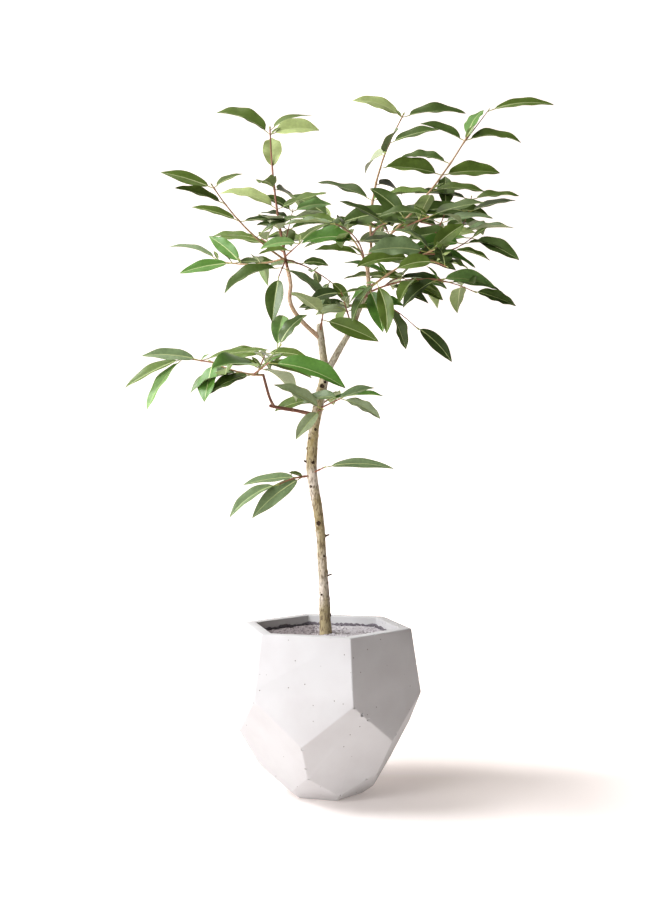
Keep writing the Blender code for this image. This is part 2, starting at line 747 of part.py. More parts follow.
def build_masses(collection, material, limb_trees, wide, lines):
    """Build every mass of foliage as one closed solid, clear of the limbs and of each other."""
    grown = {mass: grow_twigs(mass, lines, wide) for mass in MASSES}
    twig_trees = {mass: [tree_of(twig) for twig in twigs] for mass, (twigs, _) in grown.items()}
    placed = list(limb_trees.values())
    for mass, (twigs, leaves) in grown.items():
        blocked = placed + [tree for other, trees in twig_trees.items() if other != mass
                            for tree in trees]
        clear = [mesh for mesh in map(leaf_mesh, leaves)
                 if not any(tree_of(mesh).overlap(tree) for tree in blocked)]
        pieces = twigs + clear
        mesh = join_pieces([piece.copy() for piece in pieces], "EXACT")
        if not is_closed(mesh):
            mesh = join_pieces([piece.copy() for piece in pieces], "MANIFOLD")
        mesh = welded(mesh)
        mesh.name = mass
        new_object(mass, mesh, collection, material)
        placed.append(tree_of(mesh))
        print(f"{mass}: {len(clear)} of {len(leaves)} leaves, {len(mesh.polygons)} faces")


def main():
    """Build the potted tree."""
    clear_scene()
    tree = new_collection("potted_java_plum_tree")
    cutters = new_collection("cutters")
    cement = new_material("white cement", (0.80, 0.79, 0.77), 0.75)
    dressing = new_material("grey soil", (0.45, 0.43, 0.44), 0.95)
    bark = new_material("olive tan bark", (0.42, 0.33, 0.20), 0.8)
    foliage = new_material("green leaf", (0.12, 0.22, 0.07), 0.45)
    build_pot(tree, cutters, cement)
    build_soil(tree, dressing)
    trees, wide, lines = build_limbs(tree, bark)
    build_masses(tree, foliage, trees, wide, lines)
    for mesh in list(bpy.data.meshes):
        if not mesh.users:
            bpy.data.meshes.remove(mesh)


if __name__ == "__main__":
    main()
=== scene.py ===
"""The potted java plum tree, dressed for the studio.

Metres, +Z up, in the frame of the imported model. The pot is a hand-cast block with rounded and
chipped edges, the soil a bed of crumbs, the limbs have the bark's relief, and every mass of
foliage grows twigs and leaves by the same seeded rule as its solid.
"""

from __future__ import annotations

import json
import logging
import math
import random
from dataclasses import dataclass
from enum import Enum
from typing import Callable, ClassVar

import bmesh
import bpy
from mathutils import Matrix, Vector, noise
from mathutils.kdtree import KDTree

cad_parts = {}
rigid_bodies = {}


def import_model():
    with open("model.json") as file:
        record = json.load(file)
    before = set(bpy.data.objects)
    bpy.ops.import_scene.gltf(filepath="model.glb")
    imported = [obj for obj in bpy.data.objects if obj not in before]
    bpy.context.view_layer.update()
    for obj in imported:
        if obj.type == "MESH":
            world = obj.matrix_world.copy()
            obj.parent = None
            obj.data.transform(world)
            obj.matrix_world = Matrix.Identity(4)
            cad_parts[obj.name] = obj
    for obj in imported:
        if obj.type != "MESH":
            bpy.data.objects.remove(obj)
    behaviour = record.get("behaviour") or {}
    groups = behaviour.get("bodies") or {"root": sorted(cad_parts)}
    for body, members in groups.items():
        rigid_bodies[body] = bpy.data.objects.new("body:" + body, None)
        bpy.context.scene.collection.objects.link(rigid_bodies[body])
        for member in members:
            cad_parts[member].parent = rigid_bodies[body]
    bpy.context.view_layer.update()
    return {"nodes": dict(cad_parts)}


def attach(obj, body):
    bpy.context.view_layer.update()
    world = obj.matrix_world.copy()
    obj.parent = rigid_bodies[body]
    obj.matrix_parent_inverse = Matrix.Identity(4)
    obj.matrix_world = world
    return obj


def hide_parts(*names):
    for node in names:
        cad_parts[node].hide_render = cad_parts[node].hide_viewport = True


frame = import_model()

log = logging.getLogger("potted_java_plum_tree")
UP = Vector((0.0, 0.0, 1.0))
AWAY = Vector((0.0, 1.0, 0.0))
RIGHT = Vector((1.0, 0.0, 0.0))
MM_PER_METRE = 1000
# The numbers of a colour mix's sockets: its share, its two colours and its result.
MIX_SHARE, MIX_FIRST, MIX_SECOND, MIX_RESULT = 0, 6, 7, 2


def linear(code: str) -> tuple[float, float, float, float]:
    """Turn an sRGB hex value such as #a0b0c0 into a linear colour with full cover.

    Args:
        code: the hex value.

    Returns:
        Red, green, blue and alpha.
    """
    shares = [int(code[place:place + 2], 16) / 255 for place in (1, 3, 5)]
    return (*(s / 12.92 if s <= 0.04045 else ((s + 0.055) / 1.055) ** 2.4 for s in shares), 1.0)


def add_node(tree: bpy.types.NodeTree, kind: str, inputs: dict | None = None,
             stops: tuple = (), **settings) -> bpy.types.Node:
    """Add a node with its settings and links.

    Args:
        tree: the node tree.
        kind: the node's type.
        inputs: a value, or the socket to link from, by the input's name or number.
        stops: a colour ramp's places and hex colours.
        settings: the node's own properties.

    Returns:
        The new node.
    """
    node = tree.nodes.new(kind)
    for name, value in settings.items():
        setattr(node, name, value)
    for name, value in (inputs or {}).items():
        if isinstance(value, bpy.types.NodeSocket):
            tree.links.new(value, node.inputs[name])
        else:
            node.inputs[name].default_value = value
    if stops:
        ramp = node.color_ramp
        while len(ramp.elements) < len(stops):
            ramp.elements.new(1.0)
        for element, (place, code) in zip(ramp.elements, stops):
            element.position = place
            element.color = linear(code)
    return node


def plain_material(name: str, code: str, roughness: float,
                   ior: float) -> tuple[bpy.types.Material, bpy.types.NodeTree, bpy.types.Node]:
    """Make a Principled material of one colour.

    Args:
        name: what the real material is and how its surface was made.
        code: its sRGB hex colour.
        roughness: how matt it is.
        ior: its index of refraction.

    Returns:
        The material, its node tree and its shader node.
    """
    material = bpy.data.materials.new(name)
    material.use_nodes = True
    tree = material.node_tree
    shader = tree.nodes["Principled BSDF"]
    shader.inputs["Base Color"].default_value = linear(code)
    shader.inputs["Roughness"].default_value = roughness
    shader.inputs["IOR"].default_value = ior
    return material, tree, shader


def add_relief(tree: bpy.types.NodeTree, shader: bpy.types.Node, place: bpy.types.NodeSocket,
               size_mm: float, detail: float, depth: float) -> bpy.types.Node:
    """Roughen a surface by a noise of a real size.

    Args:
        tree: the material's node tree.
        shader: its shader node.
        place: the socket that gives the place on the surface.
        size_mm: the size of the noise's largest lumps.
        detail: how many finer noises are laid over it.
        depth: how deep it is, in metres.

    Returns:
        The noise, for a colour that follows the same lumps.
    """
    lumps = add_node(tree, "ShaderNodeTexNoise", {
        "Vector": place, "Scale": MM_PER_METRE / size_mm, "Detail": detail})
    bump = add_node(tree, "ShaderNodeBump", {"Height": lumps.outputs["Fac"], "Distance": depth})
    tree.links.new(bump.outputs["Normal"], shader.inputs["Normal"])
    return lumps


def toward(azimuth: float, rise: float = 0.0) -> Vector:
    """Return the direction at a compass angle, where 0 is right and a quarter turn is away.

    Args:
        azimuth: the angle, in radians.
        rise: the angle above the horizon, in radians.

    Returns:
        The direction, one metre long.
    """
    return Vector((math.cos(azimuth) * math.cos(rise), math.sin(azimuth) * math.cos(rise),
                   math.sin(rise)))


def roughen(value: float, spot: Vector, waves: tuple) -> float:
    """Return a value with noise added.

    Args:
        value: the plain value.
        spot: the place where it is wanted.
        waves: each noise's strength, and how many lumps of it go into a metre.

    Returns:
        The rough value.
    """
    for strength, pace in waves:
        value += strength * noise.noise(spot * pace)
    return value


@dataclass(frozen=True)
class CastCement:
    """White cement cast in a mould, unsealed.

    It gives the eye flat matt faces with faint clouding, a fine sandy grain and a scatter of
    pinholes where air bubbles burst, their dark colour painted shade inside them.
    """

    colour: str = "#d2d2d3"
    cloud: str = "#cdcccd"
    # Painted shade: the dark colour inside the pinholes.
    hole: str = "#7d7671"
    roughness: float = 0.82
    ior: float = 1.5
    cloud_mm: float = 60.0
    cloud_detail: float = 4.0
    cloud_range: tuple = (0.35, 0.62)
    grain_mm: float = 0.9
    grain_detail: float = 2.0
    grain_depth: float = 0.00006
    hole_mm: float = 13.0
    hole_share: float = 0.095
    hole_floor: float = 0.6
    hole_chance: float = 0.45
    hole_depth: float = 0.0005

    def material(self) -> bpy.types.Material:
        """Make the cement's material.

        Returns:
            The material.
        """
        material, tree, shader = plain_material(
            "white cast cement", self.colour, self.roughness, self.ior)
        place = add_node(tree, "ShaderNodeTexCoord").outputs["Object"]
        clouds = add_node(tree, "ShaderNodeTexNoise", {
            "Vector": place, "Scale": MM_PER_METRE / self.cloud_mm, "Detail": self.cloud_detail})
        tint = add_node(tree, "ShaderNodeValToRGB", {"Fac": clouds.outputs["Fac"]},
                        stops=tuple(zip(self.cloud_range, (self.cloud, self.colour))))
        cells = add_node(tree, "ShaderNodeTexVoronoi", {
            "Vector": place, "Scale": MM_PER_METRE / self.hole_mm})
        rim = add_node(tree, "ShaderNodeMapRange", {
            "Value": cells.outputs["Distance"], "From Min": self.hole_share * self.hole_floor,
            "From Max": self.hole_share, "To Min": 1.0, "To Max": 0.0})
        lot = add_node(tree, "ShaderNodeSeparateColor", {"Color": cells.outputs["Color"]})
        few = add_node(tree, "ShaderNodeMath", {
            0: lot.outputs["Red"], 1: self.hole_chance}, operation="LESS_THAN")
        hole = add_node(tree, "ShaderNodeMath", {
            0: rim.outputs["Result"], 1: few.outputs["Value"]}, operation="MULTIPLY")
        mixed = add_node(tree, "ShaderNodeMix", {
            MIX_SHARE: hole.outputs["Value"], MIX_FIRST: tint.outputs["Color"],
            MIX_SECOND: linear(self.hole)}, data_type="RGBA")
        tree.links.new(mixed.outputs[MIX_RESULT], shader.inputs["Base Color"])
        grain = add_node(tree, "ShaderNodeTexNoise", {
            "Vector": place, "Scale": MM_PER_METRE / self.grain_mm, "Detail": self.grain_detail})
        sand = add_node(tree, "ShaderNodeBump", {
            "Height": grain.outputs["Fac"], "Distance": self.grain_depth})
        pits = add_node(tree, "ShaderNodeBump", {
            "Height": hole.outputs["Value"], "Distance": self.hole_depth,
            "Normal": sand.outputs["Normal"]}, invert=True)
        tree.links.new(pits.outputs["Normal"], shader.inputs["Normal"])
        return material


@dataclass(frozen=True)
class SoilDressing:
    """Dry potting soil, watered and crusted.

    It gives the eye a dull grey crumb in several shades, rough at every scale.
    """

    state: str = "dry"
    shades: tuple = ("#cbc6ca", "#beb8bc", "#a49da1", "#d6d2d5")
    roughness: float = 0.97
    ior: float = 1.45
    grit_mm: float = 1.6
    grit_detail: float = 3.0
    grit_depth: float = 0.0004

    def materials(self) -> list[bpy.types.Material]:
        """Make one material for each shade of crumb.

        Returns:
            The materials.
        """
        made = []
        for number, code in enumerate(self.shades):
            material, tree, shader = plain_material(
                f"{self.state} crumbled soil {number}", code, self.roughness, self.ior)
            add_relief(tree, shader, add_node(tree, "ShaderNodeTexCoord").outputs["Object"],
                       self.grit_mm, self.grit_detail, self.grit_depth)
            made.append(material)
        return made


# Darker shades of the same soil for its left side: painted shadow of the pot's wall.
PAINTED_SHADE_DRESSING = SoilDressing("in_painted_shade", ("#8f8788", "#837b7d", "#736b6f", "#9a9293"))


@dataclass(frozen=True)
class Bark:
    """Thin smooth bark that has grown in the open.

    It gives the eye a pinkish tan skin clouded with olive stretches and pale lichen grey, dark
    flecks and fine lengthwise cracks.
    """

    name: str = "thin grown bark"
    dark: str = "#6c5c44"
    colour: str = "#dacebf"
    pale: str = "#e4dad0"
    olive: str = "#a2915a"
    roughness: float = 0.86
    ior: float = 1.45
    patch_mm: float = 16.0
    patch_detail: float = 5.0
    patch_roughness: float = 0.62
    patch_places: tuple = (0.32, 0.45, 0.54, 0.64)
    drawn: tuple = (1.0, 1.0, 0.35)
    zone_mm: float = 46.0
    zone_detail: float = 2.0
    zone_range: tuple = (0.46, 0.56)
    zone_cover: float = 0.75
    fleck_mm: float = 3.0
    fleck_detail: float = 3.0
    fleck_range: tuple = (0.51, 0.62)
    fleck_cover: float = 0.8
    crack_mm: float = 1.3
    crack_detail: float = 4.0
    crack_depth: float = 0.0004

    def material(self) -> bpy.types.Material:
        """Make the bark's material.

        Returns:
            The material.
        """
        material, tree, shader = plain_material(
            self.name, self.colour, self.roughness, self.ior)
        place = add_node(tree, "ShaderNodeTexCoord").outputs["Object"]
        drawn = add_node(tree, "ShaderNodeMapping", {
            "Vector": place, "Scale": self.drawn}).outputs["Vector"]
        patches = add_node(tree, "ShaderNodeTexNoise", {
            "Vector": place, "Scale": MM_PER_METRE / self.patch_mm, "Detail": self.patch_detail,
            "Roughness": self.patch_roughness})
        shades = zip(self.patch_places, (self.dark, self.colour, self.colour, self.pale))
        colour = add_node(tree, "ShaderNodeValToRGB", {"Fac": patches.outputs["Fac"]},
                          stops=tuple(shades)).outputs["Color"]
        for size_mm, detail, (start, end), cover, code in (
                (self.zone_mm, self.zone_detail, self.zone_range, self.zone_cover, self.olive),
                (self.fleck_mm, self.fleck_detail, self.fleck_range, self.fleck_cover,
                 self.dark)):
            spots = add_node(tree, "ShaderNodeTexNoise", {
                "Vector": drawn, "Scale": MM_PER_METRE / size_mm, "Detail": detail})
            share = add_node(tree, "ShaderNodeMapRange", {
                "Value": spots.outputs["Fac"], "From Min": start, "From Max": end,
                "To Max": cover})
            colour = add_node(tree, "ShaderNodeMix", {
                MIX_SHARE: share.outputs["Result"], MIX_FIRST: colour,
                MIX_SECOND: linear(code)}, data_type="RGBA").outputs[MIX_RESULT]
        tree.links.new(colour, shader.inputs["Base Color"])
        add_relief(tree, shader, drawn, self.crack_mm, self.crack_detail, self.crack_depth)
        return material


@dataclass(frozen=True)
class PlantSkin:
    """The skin of a leaf, a rib or a young shoot, grown with a thin coat of wax.

    A leaf's upper face gives the eye a soft gloss over faint mottling, its underside is paler
    and matt, and ribs and shoots are plain. Cut wood, a dead scar and the soil rim at the wall,
    whose dark colour is painted shade, have the same mottling, stronger and quite matt.
    """

    name: str
    colour: str
    roughness: float = 0.42
    ior: float = 1.45
    mottle: float = 0.12
    mottle_mm: float = 5.0
    mottle_detail: float = 3.0
    mottle_range: tuple = (0.3, 0.7)
    mottle_depth: float = 0.00012

    def material(self) -> bpy.types.Material:
        """Make the skin's material.

        Returns:
            The material.
        """
        material, tree, shader = plain_material(
            self.name, self.colour, self.roughness, self.ior)
        spots = add_relief(tree, shader, add_node(tree, "ShaderNodeTexCoord").outputs["Object"],
                           self.mottle_mm, self.mottle_detail, self.mottle_depth)
        value = add_node(tree, "ShaderNodeMapRange", {
            "Value": spots.outputs["Fac"], "From Min": self.mottle_range[0],
            "From Max": self.mottle_range[1], "To Min": 1 - self.mottle,
            "To Max": 1 + self.mottle})
        tint = add_node(tree, "ShaderNodeHueSaturation", {
            "Value": value.outputs["Result"], "Color": linear(self.colour)})
        tree.links.new(tint.outputs["Color"], shader.inputs["Base Color"])
        return material


class Tone(Enum):
    """How dark, fresh or shining a leaf is: partly its own colour by age, partly painted light by
    its place. SHADE is painted shade, PALE is young paleness with painted light, SHEEN and
    PAINTED_GREY_SHEEN are painted sheen, and DEEP, GREEN, FRESH and TENDER are the leaves' own
    greens.
    """

    SHADE = 0
    DEEP = 1
    GREEN = 2
    FRESH = 3
    TENDER = 4
    PALE = 5
    SHEEN = 6
    PAINTED_GREY_SHEEN = 7


# Upper faces by tone: SHADE darker as painted shade, PALE lighter as painted light, SHEEN and
# PAINTED_GREY_SHEEN lighter and greyer as painted sheen.
TOPS = {
    Tone.SHADE: PlantSkin("waxy old leaf in shade", "#3c4e23", 0.42),
    Tone.DEEP: PlantSkin("waxy old leaf", "#4c622a", 0.42),
    Tone.GREEN: PlantSkin("waxy leaf", "#5f762f", 0.42),
    Tone.FRESH: PlantSkin("waxy fresh leaf", "#578333", 0.42),
    Tone.TENDER: PlantSkin("waxy tender leaf", "#83aa63", 0.44),
    Tone.PALE: PlantSkin("waxy young leaf lightened as painted light", "#a8b874", 0.46),
    Tone.SHEEN: PlantSkin("waxy shining leaf", "#798f63", 0.36),
    Tone.PAINTED_GREY_SHEEN: PlantSkin("waxy leaf with painted grey sheen", "#9eab84", 0.40),
}
# Undersides by tone, with the same painted shade, light and sheen as the upper faces.
UNDERSIDES = {
    Tone.SHADE: PlantSkin("matt leaf underside in shade", "#5f7040", 0.62),
    Tone.DEEP: PlantSkin("matt leaf underside", "#6f824a", 0.62),
    Tone.GREEN: PlantSkin("matt leaf underside", "#7b8e50", 0.62),
    Tone.FRESH: PlantSkin("matt fresh leaf underside", "#82a055", 0.60),
    Tone.TENDER: PlantSkin("matt tender leaf underside", "#9cba7c", 0.60),
    Tone.PALE: PlantSkin("matt young leaf underside lightened as painted light", "#c0cf92", 0.60),
    Tone.SHEEN: PlantSkin("matt leaf underside", "#8a9a64", 0.62),
    Tone.PAINTED_GREY_SHEEN: PlantSkin("matt leaf underside with painted grey sheen", "#a5b08c", 0.62),
}
RIB = PlantSkin("pale leaf rib", "#bcc88c", 0.5, mottle=0.05)
PETIOLE = PlantSkin("green leaf stalk", "#9aa055", 0.5, mottle=0.08)
YOUNG_SHOOT = PlantSkin("red brown young shoot", "#8d5c45", 0.55, mottle=0.15)
GREEN_SHOOT = PlantSkin("green shoot of this year", "#8c9a5e", 0.6, mottle=0.2)
OLD_SHOOT = PlantSkin("tan woody shoot", "#a98a68", 0.75, mottle=0.2)
BUD = PlantSkin("pale green bud", "#a2a865", 0.5, mottle=0.08)
CUT_WOOD = PlantSkin("weathered cut wood", "#43352a", 0.9, mottle=0.3)
DEAD_BARK = PlantSkin("dead bark of a scar", "#40301f", 0.9, mottle=0.3)
# Dark soil rim at the wall: its darkness is painted shade where the crust meets the wall.
PAINTED_SHADE_CLING = PlantSkin("damp soil that clings to the wall", "#6f6a70", 0.95, mottle=0.3)


class MeshBin:
    """Vertices and faces of many parts, gathered into one mesh with a material for each face."""

    def __init__(self) -> None:
        """Start an empty bin."""
        self.places: list = []
        self.faces: list = []
        self.skins: list = []
        self.sharp: set = set()
        self.materials: list = []

    def slot(self, material: bpy.types.Material) -> int:
        """Return the material's number, adding it where it is new."""
        if material not in self.materials:
            self.materials.append(material)
        return self.materials.index(material)

    def add(self, places: list, faces: list, skins: list, sharp: list = ()) -> None:
        """Add a part.

        Args:
            places: its vertices.
            faces: its faces, numbered from its own first vertex.
            skins: a material number for each face.
            sharp: its sharp edges.
        """
        start = len(self.places)
        self.places += places
        self.faces += [tuple(start + corner for corner in face) for face in faces]
        self.skins += skins
        self.sharp |= {tuple(sorted((start + a, start + b))) for a, b in sharp}

    def build(self, name: str) -> bpy.types.Object:
        """Make the object that holds all that was added.

        Args:
            name: its name.

        Returns:
            The object.
        """
        mesh = bpy.data.meshes.new(name)
        mesh.from_pydata(self.places, [], self.faces)
        mesh.polygons.foreach_set("material_index", self.skins)
        mesh.polygons.foreach_set("use_smooth", [True] * len(self.faces))
        if self.sharp:
            for edge in mesh.edges:
                if tuple(sorted(edge.vertices)) in self.sharp:
                    edge.use_edge_sharp = True
        for material in self.materials:
            mesh.materials.append(material)
        mesh.update()
        return show(name, mesh)


def show(name: str, mesh: bpy.types.Mesh) -> bpy.types.Object:
    """Link a new object that shows the mesh."""
    item = bpy.data.objects.new(name, mesh)
    bpy.context.scene.collection.objects.link(item)
    return item


def show_block(name: str, block: bmesh.types.BMesh) -> bpy.types.Object:
    """Show a block as a new object, and free the block.

    Args:
        name: the object's name.
        block: the block.

    Returns:
        The object.
    """
    mesh = bpy.data.meshes.new(name)
    block.to_mesh(mesh)
    block.free()
    return show(name, mesh)


def settle(piece: bpy.types.Object, finish: str, *nodes: str) -> bpy.types.Object:
    """Fix a piece to the body, in place of its solids.

    Args:
        piece: the new piece.
        finish: the record's material slot; not used.
        nodes: the solids that it stands for.

    Returns:
        The piece.
    """
    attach(piece, "root")
    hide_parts(*nodes)
    log.info("%s: %d faces for %s", piece.name, len(piece.data.polygons), ", ".join(nodes))
    return piece


def smooth_route(stops: tuple, step: float) -> list:
    """Return points on a smooth curve through the stops, about one step apart.

    Args:
        stops: the places that the curve passes, each with a width as its last value.
        step: the wanted distance between points.

    Returns:
        Points with the same kind of values as the stops.
    """
    ends = [stops[0]] + list(stops) + [stops[-1]]
    points = []
    for before, start, end, after in zip(ends, ends[1:], ends[2:], ends[3:]):
        count = max(1, round((Vector(end[:3]) - Vector(start[:3])).length / step))
        for number in range(count):
            t = number / count
            points.append(tuple(
                0.5 * (2 * b + (c - a) * t + (2 * a - 5 * b + 4 * c - d) * t ** 2
                       + (3 * b - a - 3 * c + d) * t ** 3)
                for a, b, c, d in zip(before, start, end, after)))
    points.append(tuple(stops[-1]))
    return points


def along(points: list, share: float) -> tuple[Vector, Vector]:
    """Return the place and the direction at a share of the length of a line of points.

    Args:
        points: the points, each with its place first.
        share: the share of the length.

    Returns:
        The place and the direction.
    """
    places = [Vector(point[:3]) for point in points]
    runs = [(b - a).length for a, b in zip(places, places[1:])]
    left = share * sum(runs)
    for start, end, run in zip(places, places[1:], runs):
        if left <= run:
            return start.lerp(end, left / run), (end - start).normalized()
        left -= run
    return places[-1], (places[-1] - places[-2]).normalized()


# Where the sine of a tube's angle to AWAY is below this, its sides are counted from RIGHT.
LEAST_SLANT = 0.2


def add_tube(parts: MeshBin, points: list, sides: int, skin: int,
             width: Callable | None = None) -> None:
    """Add a closed tube.

    Args:
        parts: the bin that takes it.
        points: places along its middle, each x, y, z and diameter.
        sides: how many sides it has.
        skin: its material number.
        width: the radius for a ring's number, its own radius, the angle round it and the place
            there, where the tube isn't plain.
    """
    middles = [Vector(point[:3]) for point in points]
    places, faces, skins = [], [], []
    across = None
    for number, middle in enumerate(middles):
        ahead = (middles[min(number + 1, len(middles) - 1)]
                 - middles[max(number - 1, 0)]).normalized()
        if across is None:
            across = ahead.cross(AWAY)
            if across.length < LEAST_SLANT:
                across = ahead.cross(RIGHT)
        across = (across - ahead * across.dot(ahead)).normalized()
        over = ahead.cross(across)
        radius = points[number][3] / 2
        for side in range(sides):
            angle = math.tau * side / sides
            out = across * math.cos(angle) + over * math.sin(angle)
            reach = width(number, radius, angle, middle + out * radius) if width else radius
            places.append(middle + out * reach)
    last = len(middles) - 1
    for number in range(last):
        for side in range(sides):
            near, far = number * sides + side, number * sides + (side + 1) % sides
            faces.append((near, far, far + sides, near + sides))
            skins.append(skin)
    foot, tip = len(places), len(places) + 1
    places += [middles[0], middles[-1]]
    for side in range(sides):
        after = (side + 1) % sides
        faces.append((foot, after, side))
        faces.append((tip, last * sides + side, last * sides + after))
        skins += [skin, skin]
    parts.add(places, faces, skins)


@dataclass
class FacetedPot:
    """The cast pot: one block cut by three rings of flats, with a cavity and worn edges."""

    sides: int = 6
    turn: float = math.radians(-15)
    height: float = 0.295
    rim_radius: float = 0.155
    shoulder_radius: float = 0.172
    shoulder_height: float = 0.185
    ankle_radius: float = 0.086
    ankle_height: float = 0.014
    foot_radius: float = 0.066
    toe_radius: float = 0.122
    toe_height: float = 0.054
    wall: float = 0.019
    floor: float = 0.022
    block_size: float = 0.8
    edge_round: float = 0.0018
    edge_steps: int = 3
    edge_angle: float = math.radians(12)
    sharp_angle: float = math.radians(32)
    least_facing: float = 0.2
    chips: int = 60
    chip_size: tuple = (0.0009, 0.0036)
    chip_breadth: tuple = (0.7, 1.8)
    chip_height: tuple = (0.6, 1.3)
    chip_lump: float = 0.5
    chip_pace: float = 1.3
    chip_drift: float = 900
    finish: CastCement = CastCement()

    @property
    def apothem(self) -> float:
        """The share of a corner's distance at which a flat lies."""
        return math.cos(math.pi / self.sides)

    def flat(self, inset: float, near: tuple, far: tuple,
             azimuth: float) -> tuple[Vector, Vector]:
        """Return a point on a flat and its outward normal.

        Args:
            inset: how far the flat is moved in, square to itself.
            near: the distance from the axis and the height of its upper line.
            far: the same for its lower line.
            azimuth: the compass angle that it faces.

        Returns:
            The point and the normal.
        """
        out = toward(azimuth)
        down = out * (near[0] - far[0]) + UP * (near[1] - far[1])
        normal = Vector((-out.y, out.x, 0.0)).cross(down).normalized()
        if normal.dot(out) < 0:
            normal = -normal
        return out * near[0] + UP * near[1] - normal * inset, normal

    def block(self, inset: float, bottom: float, top: float) -> bmesh.types.BMesh:
        """Return the pot's outer form, drawn in by the inset and cut level at both ends.

        Args:
            inset: how far each flat is moved in.
            bottom: the height of the lower cut.
            top: the height of the upper cut.

        Returns:
            The block.
        """
        rings = (
            ((self.rim_radius * self.apothem, self.height),
             (self.shoulder_radius * self.apothem, self.shoulder_height), 0.5),
            ((self.shoulder_radius, self.shoulder_height),
             (self.ankle_radius, self.ankle_height), 0.0),
            ((self.toe_radius, self.toe_height), (self.foot_radius * self.apothem, 0.0), 0.5))
        flats = [(UP * top, UP), (UP * bottom, -UP)]
        for near, far, half_turn in rings:
            flats += [self.flat(inset, near, far,
                                self.turn + (side + half_turn) * math.tau / self.sides)
                      for side in range(self.sides)]
        block = bmesh.new()
        bmesh.ops.create_cube(block, size=self.block_size)
        for place, normal in flats:
            cut = bmesh.ops.bisect_plane(
                block, geom=block.verts[:] + block.edges[:] + block.faces[:],
                plane_co=place, plane_no=normal, clear_outer=True)
            bmesh.ops.edgeloop_fill(block, edges=[
                part for part in cut["geom_cut"] if isinstance(part, bmesh.types.BMEdge)])
        bmesh.ops.recalc_face_normals(block, faces=block.faces)
        return block

    def inner_reach(self, angle: float, height: float) -> float:
        """Return how far the cavity's wall is from the axis at a compass angle and height.

        Args:
            angle: the angle.
            height: the height above the floor.

        Returns:
            The distance.
        """
        rim, shoulder = self.rim_radius * self.apothem, self.shoulder_radius * self.apothem
        rise = self.height - self.shoulder_height
        slant = math.hypot(rise, shoulder - rim) / rise
        off = rim + (self.height - height) * (shoulder - rim) / rise - self.wall * slant
        return min(off / max(math.cos(angle - self.turn - (side + 0.5) * math.tau / self.sides),
                             self.least_facing) for side in range(self.sides))

    def stone(self, name: str, rule: random.Random, place: Vector) -> bpy.types.Object:
        """Return a small stone that breaks a chip out of an edge.

        Args:
            name: its name.
            rule: the dealer of chances.
            place: where on the edge it sits.

        Returns:
            The stone.
        """
        block = bmesh.new()
        size = rule.uniform(*self.chip_size)
        bmesh.ops.create_icosphere(block, subdivisions=2, radius=size)
        stretch = Vector((rule.uniform(*self.chip_breadth), rule.uniform(*self.chip_breadth),
                          rule.uniform(*self.chip_height)))
        for corner in block.verts:
            lump = 1 + self.chip_lump * noise.noise(
                corner.co / size * self.chip_pace + place * self.chip_drift)
            corner.co = Vector(a * b for a, b in zip(corner.co, stretch)) * lump + place
        return show_block(name, block)

    def build(self) -> bpy.types.Object:
        """Build the pot and dress it.

        Returns:
            The pot.
        """
        outer = self.block(0.0, 0.0, self.height)
        rule = random.Random("pot chips")
        edges = [(edge.verts[0].co.copy(), edge.verts[1].co.copy()) for edge in outer.edges]
        lengths = [(b - a).length for a, b in edges]
        pot = show_block("cast_pot", outer)
        cavity = show_block("hollow", self.block(self.wall, self.floor, self.height + self.wall))
        cut = pot.modifiers.new("cavity", "BOOLEAN")
        cut.operation = "DIFFERENCE"
        cut.object = cavity
        soft = pot.modifiers.new("edges", "BEVEL")
        soft.width = self.edge_round
        soft.segments = self.edge_steps
        soft.limit_method = "ANGLE"
        soft.angle_limit = self.edge_angle
        stones = []
        for number in range(self.chips):
            a, b = rule.choices(edges, lengths)[0]
            stones.append(self.stone(f"stone_{number}", rule, a.lerp(b, rule.random())))
        holder = bpy.data.collections.new("stones")
        bpy.context.scene.collection.children.link(holder)
        for stone in stones:
            holder.objects.link(stone)
        broken = pot.modifiers.new("chips", "BOOLEAN")
        broken.operation = "DIFFERENCE"
        broken.operand_type = "COLLECTION"
        broken.collection = holder
        apply_modifiers(pot)
        for scrap in [cavity, *stones]:
            bpy.data.objects.remove(scrap)
        bpy.data.collections.remove(holder)
        pot.data.materials.clear()
        pot.data.materials.append(self.finish.material())
        pot.data.shade_smooth()
        pot.data.set_sharp_from_angle(angle=self.sharp_angle)
        return settle(pot, "pot", "pot")


def apply_modifiers(item: bpy.types.Object) -> None:
    """Put the mesh that an object shows in place of its own, with no modifier left.

    Args:
        item: the object.
    """
    bpy.context.view_layer.update()
    graph = bpy.context.evaluated_depsgraph_get()
    mesh = bpy.data.meshes.new_from_object(item.evaluated_get(graph))
    item.modifiers.clear()
    item.data = mesh


